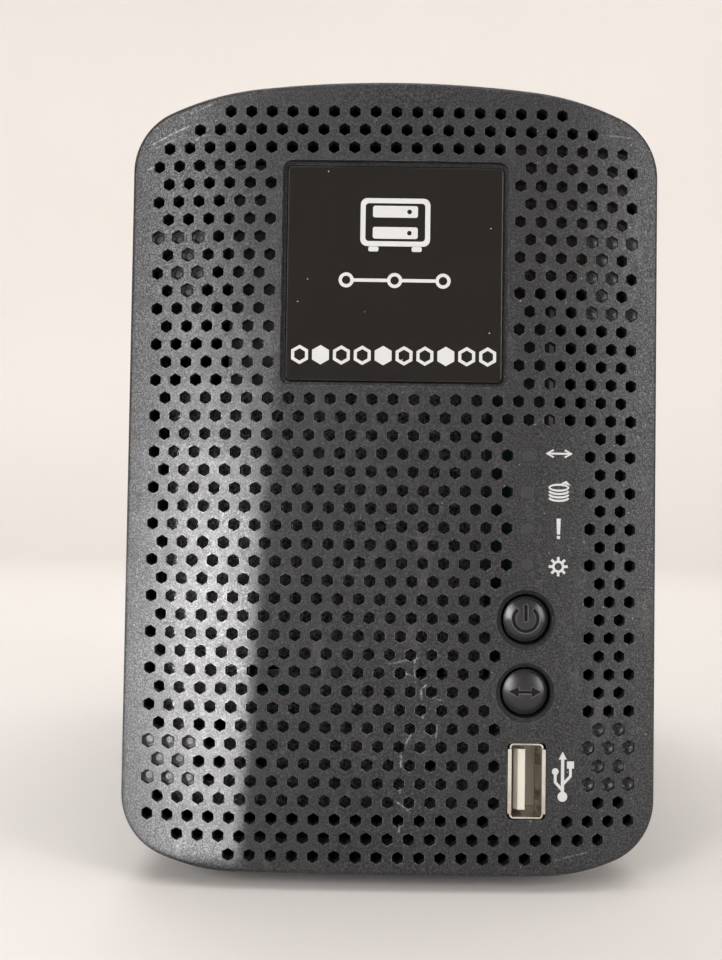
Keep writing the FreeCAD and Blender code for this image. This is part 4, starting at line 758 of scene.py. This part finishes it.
windows_low, windows_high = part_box("indicator_windows")
symbol_x = (windows_low.x + windows_high.x) / 2 + SYMBOL_GAP
window_radius = (windows_high.x - windows_low.x) / math.sqrt(3)     # of a hexagon on its corner
row_gap = (windows_high.z - windows_low.z - 2 * window_radius) / 3
row_symbols = [
    ("symbol_transfer", double_arrow(2.25, 1.25, 0.34), 0.5 * MM),
    ("symbol_drives", disc_stack(1.86, 0.70, 0.60, 0.36), 0.0),
    ("symbol_alert", alert_mark(), 0.1 * MM),
    ("symbol_settings", gear(1.70, 1.08, 0.66, 0.46), -0.2 * MM),
]
for row, (name, shapes, shift) in enumerate(row_symbols):
    z = windows_high.z - window_radius - row * row_gap + shift
    printed(name, shapes, on_face(symbol_x, z), white_ink)

mounts = {mount["name"]: Vector(mount["pos_m"]) for mount in record["mounts"]}
socket = mounts["front_usb"]
printed("symbol_usb", trident(8.7, 0.57),
        on_face(socket.x + SOCKET_SYMBOL[0], socket.z + SOCKET_SYMBOL[1]), white_ink)

# ---------------------------------------------------------------- badge

badge_low, badge_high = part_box("badge_plate")
badge_x = (badge_low.x + badge_high.x) / 2
badge_z = (badge_low.z + badge_high.z) / 2
badge_ink = ink("badge_ink", (0.47, 0.47, 0.465))


def two_bay_box(wide, tall, line):
    """A box on feet with two trays in it, each with a lamp."""
    shapes = [[rounded_box(-wide, -tall, wide, tall, 1.2),
               rounded_box(-wide + line, -tall + line, wide - line, tall - line, 0.6)]]
    for z in (-tall / 2 + 0.25, tall / 2 - 0.25):
        tray = rounded_box(-wide + 2.2, z - 1.05, wide - 2.2, z + 1.05, 0.4)
        shapes.append([tray, circle(wide - 3.7, z, 0.42, 16)])
    for foot in (-wide * 0.62, wide * 0.62):
        shapes.append([rounded_box(foot - 0.9, -tall - 0.95, foot + 0.9, -tall - 0.05, 0.3)])
    return shapes


def linked_nodes(half, radius, line):
    """Three rings on a line."""
    shapes = []
    for x in (-half, 0, half):
        shapes.append([circle(x, 0, radius), circle(x, 0, radius - line)])
    for side in (-1, 1):
        ends = [(side * (radius - 0.05), 0), (side * (half - radius + 0.05), 0)]
        shapes.append([stroke(ends, line)])
    return shapes


def comb_row(count, flat, pitch, line):
    """A row of small hexagons, every third one solid."""
    shapes = []
    for i in range(count):
        x = (i - (count - 1) / 2) * pitch
        if i % 3 == 1:
            shapes.append([hexagon(x, 0, flat)])
        else:
            shapes.append([hexagon(x, 0, flat), hexagon(x, 0, flat - 2 * line)])
    return shapes


badge_marks = [
    ("badge_box_sign", two_bay_box(6.2, 4.3, 0.9), 9.2),
    ("badge_link_sign", linked_nodes(8.6, 1.35, 0.6), -1.2),
    ("badge_comb_sign", comb_row(10, 3.0, 3.7, 0.55), -14.6),
]
for name, shapes, z in badge_marks:
    printed(name, shapes, on_plane(badge_x, badge_low.y, badge_z + z * MM, -1.0), badge_ink)


# ---------------------------------------------------------------- rear and underside marks

def network_mark(size, line):
    """Three boxes joined by a branched line."""
    half = size / 2
    edge = 0.15 * size
    reach = half - edge
    inner = half - 2 * edge
    shapes = []
    for x, z in ((0, reach), (-reach, -reach), (reach, -reach)):
        shapes.append([rectangle(x - edge, z - edge, x + edge, z + edge)])
    shapes.append([stroke([(0, inner), (0, 0)], line)])
    shapes.append([stroke([(-reach, -inner), (-reach, 0), (reach, 0), (reach, -inner)], line)])
    return shapes


def inlet_mark(size, line):
    """A pin in a broken ring, with a line to each side."""
    ring = arc_points(0, 0, size * 0.28, size * 0.28, math.radians(40), math.radians(320), 20)
    return [[circle(0, 0, size * 0.12)], [stroke(ring, line)],
            [stroke([(size * 0.12, 0), (size * 0.5, 0)], line)],
            [stroke([(-size * 0.5, 0), (-size * 0.30, 0)], line)]]


def padlock(size, line):
    """A small padlock."""
    half = size / 2
    bow = arc_points(0, half * 0.15, half * 0.42, half * 0.55, 0.0, math.pi, 12)
    body = rectangle(-half * 0.7, -half, half * 0.7, half * 0.15)
    return [[body], [stroke(bow, line)]]


rear_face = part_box("rear_panel")[1].y
rear_marks = [
    ("rear_mark_network", network_mark(5.0, 0.5), mounts["lan_socket"].x, 30.0),
    ("rear_mark_usb_1", trident(6.6, 0.45), mounts["rear_usb_1"].x, 24.5),
    ("rear_mark_usb_2", trident(6.6, 0.45), mounts["rear_usb_2"].x, 24.5),
    ("rear_mark_inlet", inlet_mark(6.5, 0.5), mounts["power_inlet"].x, 27.0),
    ("rear_mark_lock", padlock(4.2, 0.5), mounts["lock_slot"].x + 8 * MM, 35.0),
]
for name, shapes, x, z in rear_marks:
    printed(name, shapes, on_plane(x, rear_face, z * MM, 1.0, -1.0), white_ink)


def paper(name, dark, light):
    """Label stock: slightly mottled, with a satin film."""
    material, tree = new_material(name)
    place = place_of(tree)
    mottle = noise(tree, place, 1.5 * MM, 3.0, 0.6)
    finish_material(tree, {
        "Base Color": blend_colour(tree, mottle, dark, light),
        "Roughness": remap(tree, mottle, 0.2, 0.8, 0.36, 0.5),
        "Normal": bump(tree, mottle, 0.01 * MM),
    })
    return material


label_white = paper("label_white", (0.72, 0.72, 0.70), (0.80, 0.80, 0.78))
label_silver = paper("label_silver", (0.42, 0.42, 0.43), (0.50, 0.50, 0.51))
black_ink = ink("black_ink", (0.03, 0.03, 0.03))


def bar_marks(wide, tall):
    """A row of upright bars of mixed widths, which stands for a printed code without being one."""
    shapes = []
    x = -wide / 2
    while x < wide / 2 - 0.8:
        width = draw.choice((0.25, 0.4, 0.7))
        shapes.append([rectangle(x, -tall / 2, x + width, tall / 2)])
        x += width + draw.choice((0.3, 0.45, 0.6))
    return shapes


def row_marks(wide, rows, pitch, tall):
    """Plain grey rules that stand for lines of small print."""
    shapes = []
    for i in range(rows):
        z = ((rows - 1) / 2 - i) * pitch
        length = wide * draw.uniform(0.55, 1.0)
        shapes.append([rectangle(-wide / 2, z - tall / 2, -wide / 2 + length, z + tall / 2)])
    return shapes


def shifted(shapes, dx, dz):
    return [[[(x + dx, z + dz) for x, z in loop] for loop in loops] for loops in shapes]


def on_side(x, y0, z0, out):
    """A place on an upright side at x. The mark's own x runs along the depth."""
    def where(across, up):
        return Vector((x, y0 + out * across, z0 + up)), Vector((out, 0, 0))
    return where


def on_underside(x0, y0, z):
    """A place on a flat face at z that is seen from below."""
    def where(across, up):
        return Vector((x0 + across, y0 + up, z)), Vector((0, 0, -1))
    return where


LABEL_Y = 5 * MM
LABEL_PRINT = INK_THICKNESS * 1.5       # how far the print on a label lies above the part
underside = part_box("base_shell")[0].z
printed("underside_label", [[rounded_box(-24, -16, 24, 16, 1.5)]],
        on_underside(0.0, LABEL_Y, underside), label_silver)
underside_print = shifted(row_marks(26, 5, 3.2, 0.7), -8.5, 5.0)
underside_print += shifted(bar_marks(38, 6.0), 0.0, -9.5)
printed("underside_print", underside_print,
        on_underside(0.0, LABEL_Y, underside - LABEL_PRINT), black_ink)

for number in (1, 2):
    lid_low, lid_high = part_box("drive_%d_lid" % number)
    middle_y = (lid_low.y + lid_high.y) / 2 + 6 * MM
    middle_z = (lid_low.z + lid_high.z) / 2
    printed("drive_%d_label" % number, [[rounded_box(-36, -27, 36, 27, 2.0)]],
            on_side(lid_high.x, middle_y, middle_z, 1.0), label_white)
    lid_print = shifted(row_marks(40, 7, 4.4, 1.0), -12.0, 7.0)
    lid_print += shifted(bar_marks(56, 8.0), 0.0, -18.0)
    printed("drive_%d_print" % number, lid_print,
            on_side(lid_high.x + LABEL_PRINT, middle_y, middle_z, 1.0), black_ink)


# ---------------------------------------------------------------- floor, lights, camera

STUDIO_STEPS = 96


def revolved(name, profile):
    """A mesh of revolution about +Z from points of radius and height."""
    made = bmesh.new()
    rings = []
    for radius, height in profile:
        ring = [made.verts.new((radius * math.cos(a), radius * math.sin(a), height))
                for a in (math.tau * i / STUDIO_STEPS for i in range(STUDIO_STEPS))]
        rings.append(ring)
    made.faces.new(rings[0])
    for low, high in zip(rings, rings[1:]):
        for i in range(STUDIO_STEPS):
            j = (i + 1) % STUDIO_STEPS
            made.faces.new((low[i], low[j], high[j], high[i]))
    bmesh.ops.recalc_face_normals(made, faces=made.faces)
    mesh = bpy.data.meshes.new(name)
    made.to_mesh(mesh)
    made.free()
    mesh.shade_smooth()
    thing = bpy.data.objects.new(name, mesh)
    bpy.context.scene.collection.objects.link(thing)
    return thing


FLOOR_RADIUS = 1.5
SWEEP = 0.7             # radius of the bend from the floor up to the wall
WALL_TOP = 2.6
bowl_profile = [(0.2, 0.0), (FLOOR_RADIUS, 0.0)]
bowl_profile += [(FLOOR_RADIUS + SWEEP * math.sin(a), SWEEP - SWEEP * math.cos(a))
                 for a in (math.radians(7.5 * i) for i in range(1, 13))]
bowl_profile += [(FLOOR_RADIUS + SWEEP, WALL_TOP)]
studio = revolved("studio", bowl_profile)


def pale_paint():
    """Matt paint, a little darker on the floor than on the wall."""
    material, tree = new_material("studio_paint")
    place = place_of(tree)
    tone = noise(tree, place, 0.35, 2.0)
    height = add(tree, "SeparateXYZ", {"Vector": place}).outputs["Z"]
    rise = remap(tree, height, 0.0, SWEEP / 2)
    low = blend_colour(tree, tone, (0.735, 0.705, 0.68), (0.765, 0.735, 0.71))
    high = blend_colour(tree, tone, (0.80, 0.765, 0.735), (0.83, 0.80, 0.775))
    finish_material(tree, {
        "Base Color": blend_colour(tree, rise, low, high),
        "Roughness": 0.9,
        "Specular IOR Level": 0.0,
    })
    return material


studio.data.materials.append(pale_paint())

world = bpy.data.worlds.new("studio_sky")
world.use_nodes = True
world.node_tree.nodes["Background"].inputs["Color"].default_value = (1.0, 0.985, 0.97, 1.0)
world.node_tree.nodes["Background"].inputs["Strength"].default_value = 0.42
bpy.context.scene.world = world


def aim(thing, place, target):
    """Puts a lamp at a place, turned to its target."""
    thing.location = place
    thing.rotation_mode = "QUATERNION"
    thing.rotation_quaternion = (Vector(target) - Vector(place)).to_track_quat("-Z", "Y")
    bpy.context.scene.collection.objects.link(thing)


def softbox(name, place, target, wide, tall, power, colour=(1.0, 1.0, 1.0)):
    """A soft rectangular light that isn't seen itself."""
    light = bpy.data.lights.new(name, "AREA")
    light.shape = "RECTANGLE"
    light.size = wide
    light.size_y = tall
    light.energy = power
    light.color = colour
    thing = bpy.data.objects.new(name, light)
    thing.visible_camera = False
    aim(thing, place, target)


middle = (cad_box[0] + cad_box[1]) / 2
softbox("top_light", (0.1, -0.5, 1.5), middle, 1.3, 1.3, 8.0, (1.0, 0.99, 0.98))
softbox("left_light", (-0.62, -1.05, 0.30), middle, 0.30, 0.6, 10.0)
softbox("right_light", (0.80, -0.80, 0.30), middle, 0.30, 0.6, 5.0)
softbox("rear_light", (-0.4, 1.1, 1.9), middle, 1.0, 0.8, 10.0)
softbox("wall_light", (0.0, 0.4, 1.9), (0.0, 2.1, 0.45), 1.8, 0.5, 12.5, (1.0, 0.985, 0.97))

# The window light: narrow slats that throw one beam on the left of the face, weaker higher up.
BEAM_TURN = math.radians(20)        # it comes from this far left of straight ahead
BEAM_TILT = math.radians(3.3)       # its right edge leans this much
BEAM_AWAY = 0.03                    # how far ahead of the face the slats stand
BEAM_SPREAD = math.radians(8)
BEAM_EDGE_X = -23.8 * MM            # its right edge crosses the face at this x and z
BEAM_EDGE_Z = 50 * MM
BEAM_WIDE = 34 * MM
SLAT_TALL = 12 * MM
SLAT_POWERS = (0.46, 0.45, 0.42, 0.36, 0.28, 0.20, 0.12, 0.07, 0.03, 0.014, 0.006, 0.003)
BEAM_POWER = 0.0082
slat_up = Vector((math.sin(BEAM_TILT), 0.0, math.cos(BEAM_TILT)))
slat_back = Vector((-math.sin(BEAM_TURN), -math.cos(BEAM_TURN), 0.0))
slat_right = slat_up.cross(slat_back).normalized()
slat_back = slat_right.cross(slat_up).normalized()
slat_turn = Matrix((slat_right, slat_up, slat_back)).transposed().to_4x4()
edge_point = Vector((BEAM_EDGE_X, cad_box[0].y, BEAM_EDGE_Z))
for number, power in enumerate(SLAT_POWERS):
    height = (number + 0.9) * SLAT_TALL - BEAM_EDGE_Z
    slat = bpy.data.lights.new("window_slat_%d" % number, "AREA")
    slat.shape = "RECTANGLE"
    slat.size = BEAM_WIDE
    slat.size_y = SLAT_TALL
    slat.spread = BEAM_SPREAD
    slat.energy = power * BEAM_POWER
    lamp = bpy.data.objects.new("window_slat_%d" % number, slat)
    lamp.visible_camera = False
    centre = edge_point - slat_right * BEAM_WIDE / 2 + slat_up * height + slat_back * BEAM_AWAY
    lamp.matrix_world = Matrix.Translation(centre) @ slat_turn
    bpy.context.scene.collection.objects.link(lamp)

camera = bpy.data.cameras.new("camera")
camera.lens = 44.25
camera.sensor_width = 36.0
camera.clip_start = 0.01
camera.clip_end = 20.0
CAMERA_PLACE = Vector((-4.576, -307.577, 65.034)) * MM
CAMERA_RIGHT = Vector((0.99989, 0.00372, 0.01445))
CAMERA_UP = Vector((-0.01432, -0.03325, 0.99934))
CAMERA_AHEAD = Vector((-0.0042, 0.99944, 0.03319))
eye = bpy.data.objects.new("camera", camera)
camera_turn = Matrix((CAMERA_RIGHT, CAMERA_UP, -CAMERA_AHEAD)).transposed().to_4x4()
eye.matrix_world = Matrix.Translation(CAMERA_PLACE) @ camera_turn
bpy.context.scene.collection.objects.link(eye)
bpy.context.scene.camera = eye
bpy.context.scene.view_settings.view_transform = "Standard"
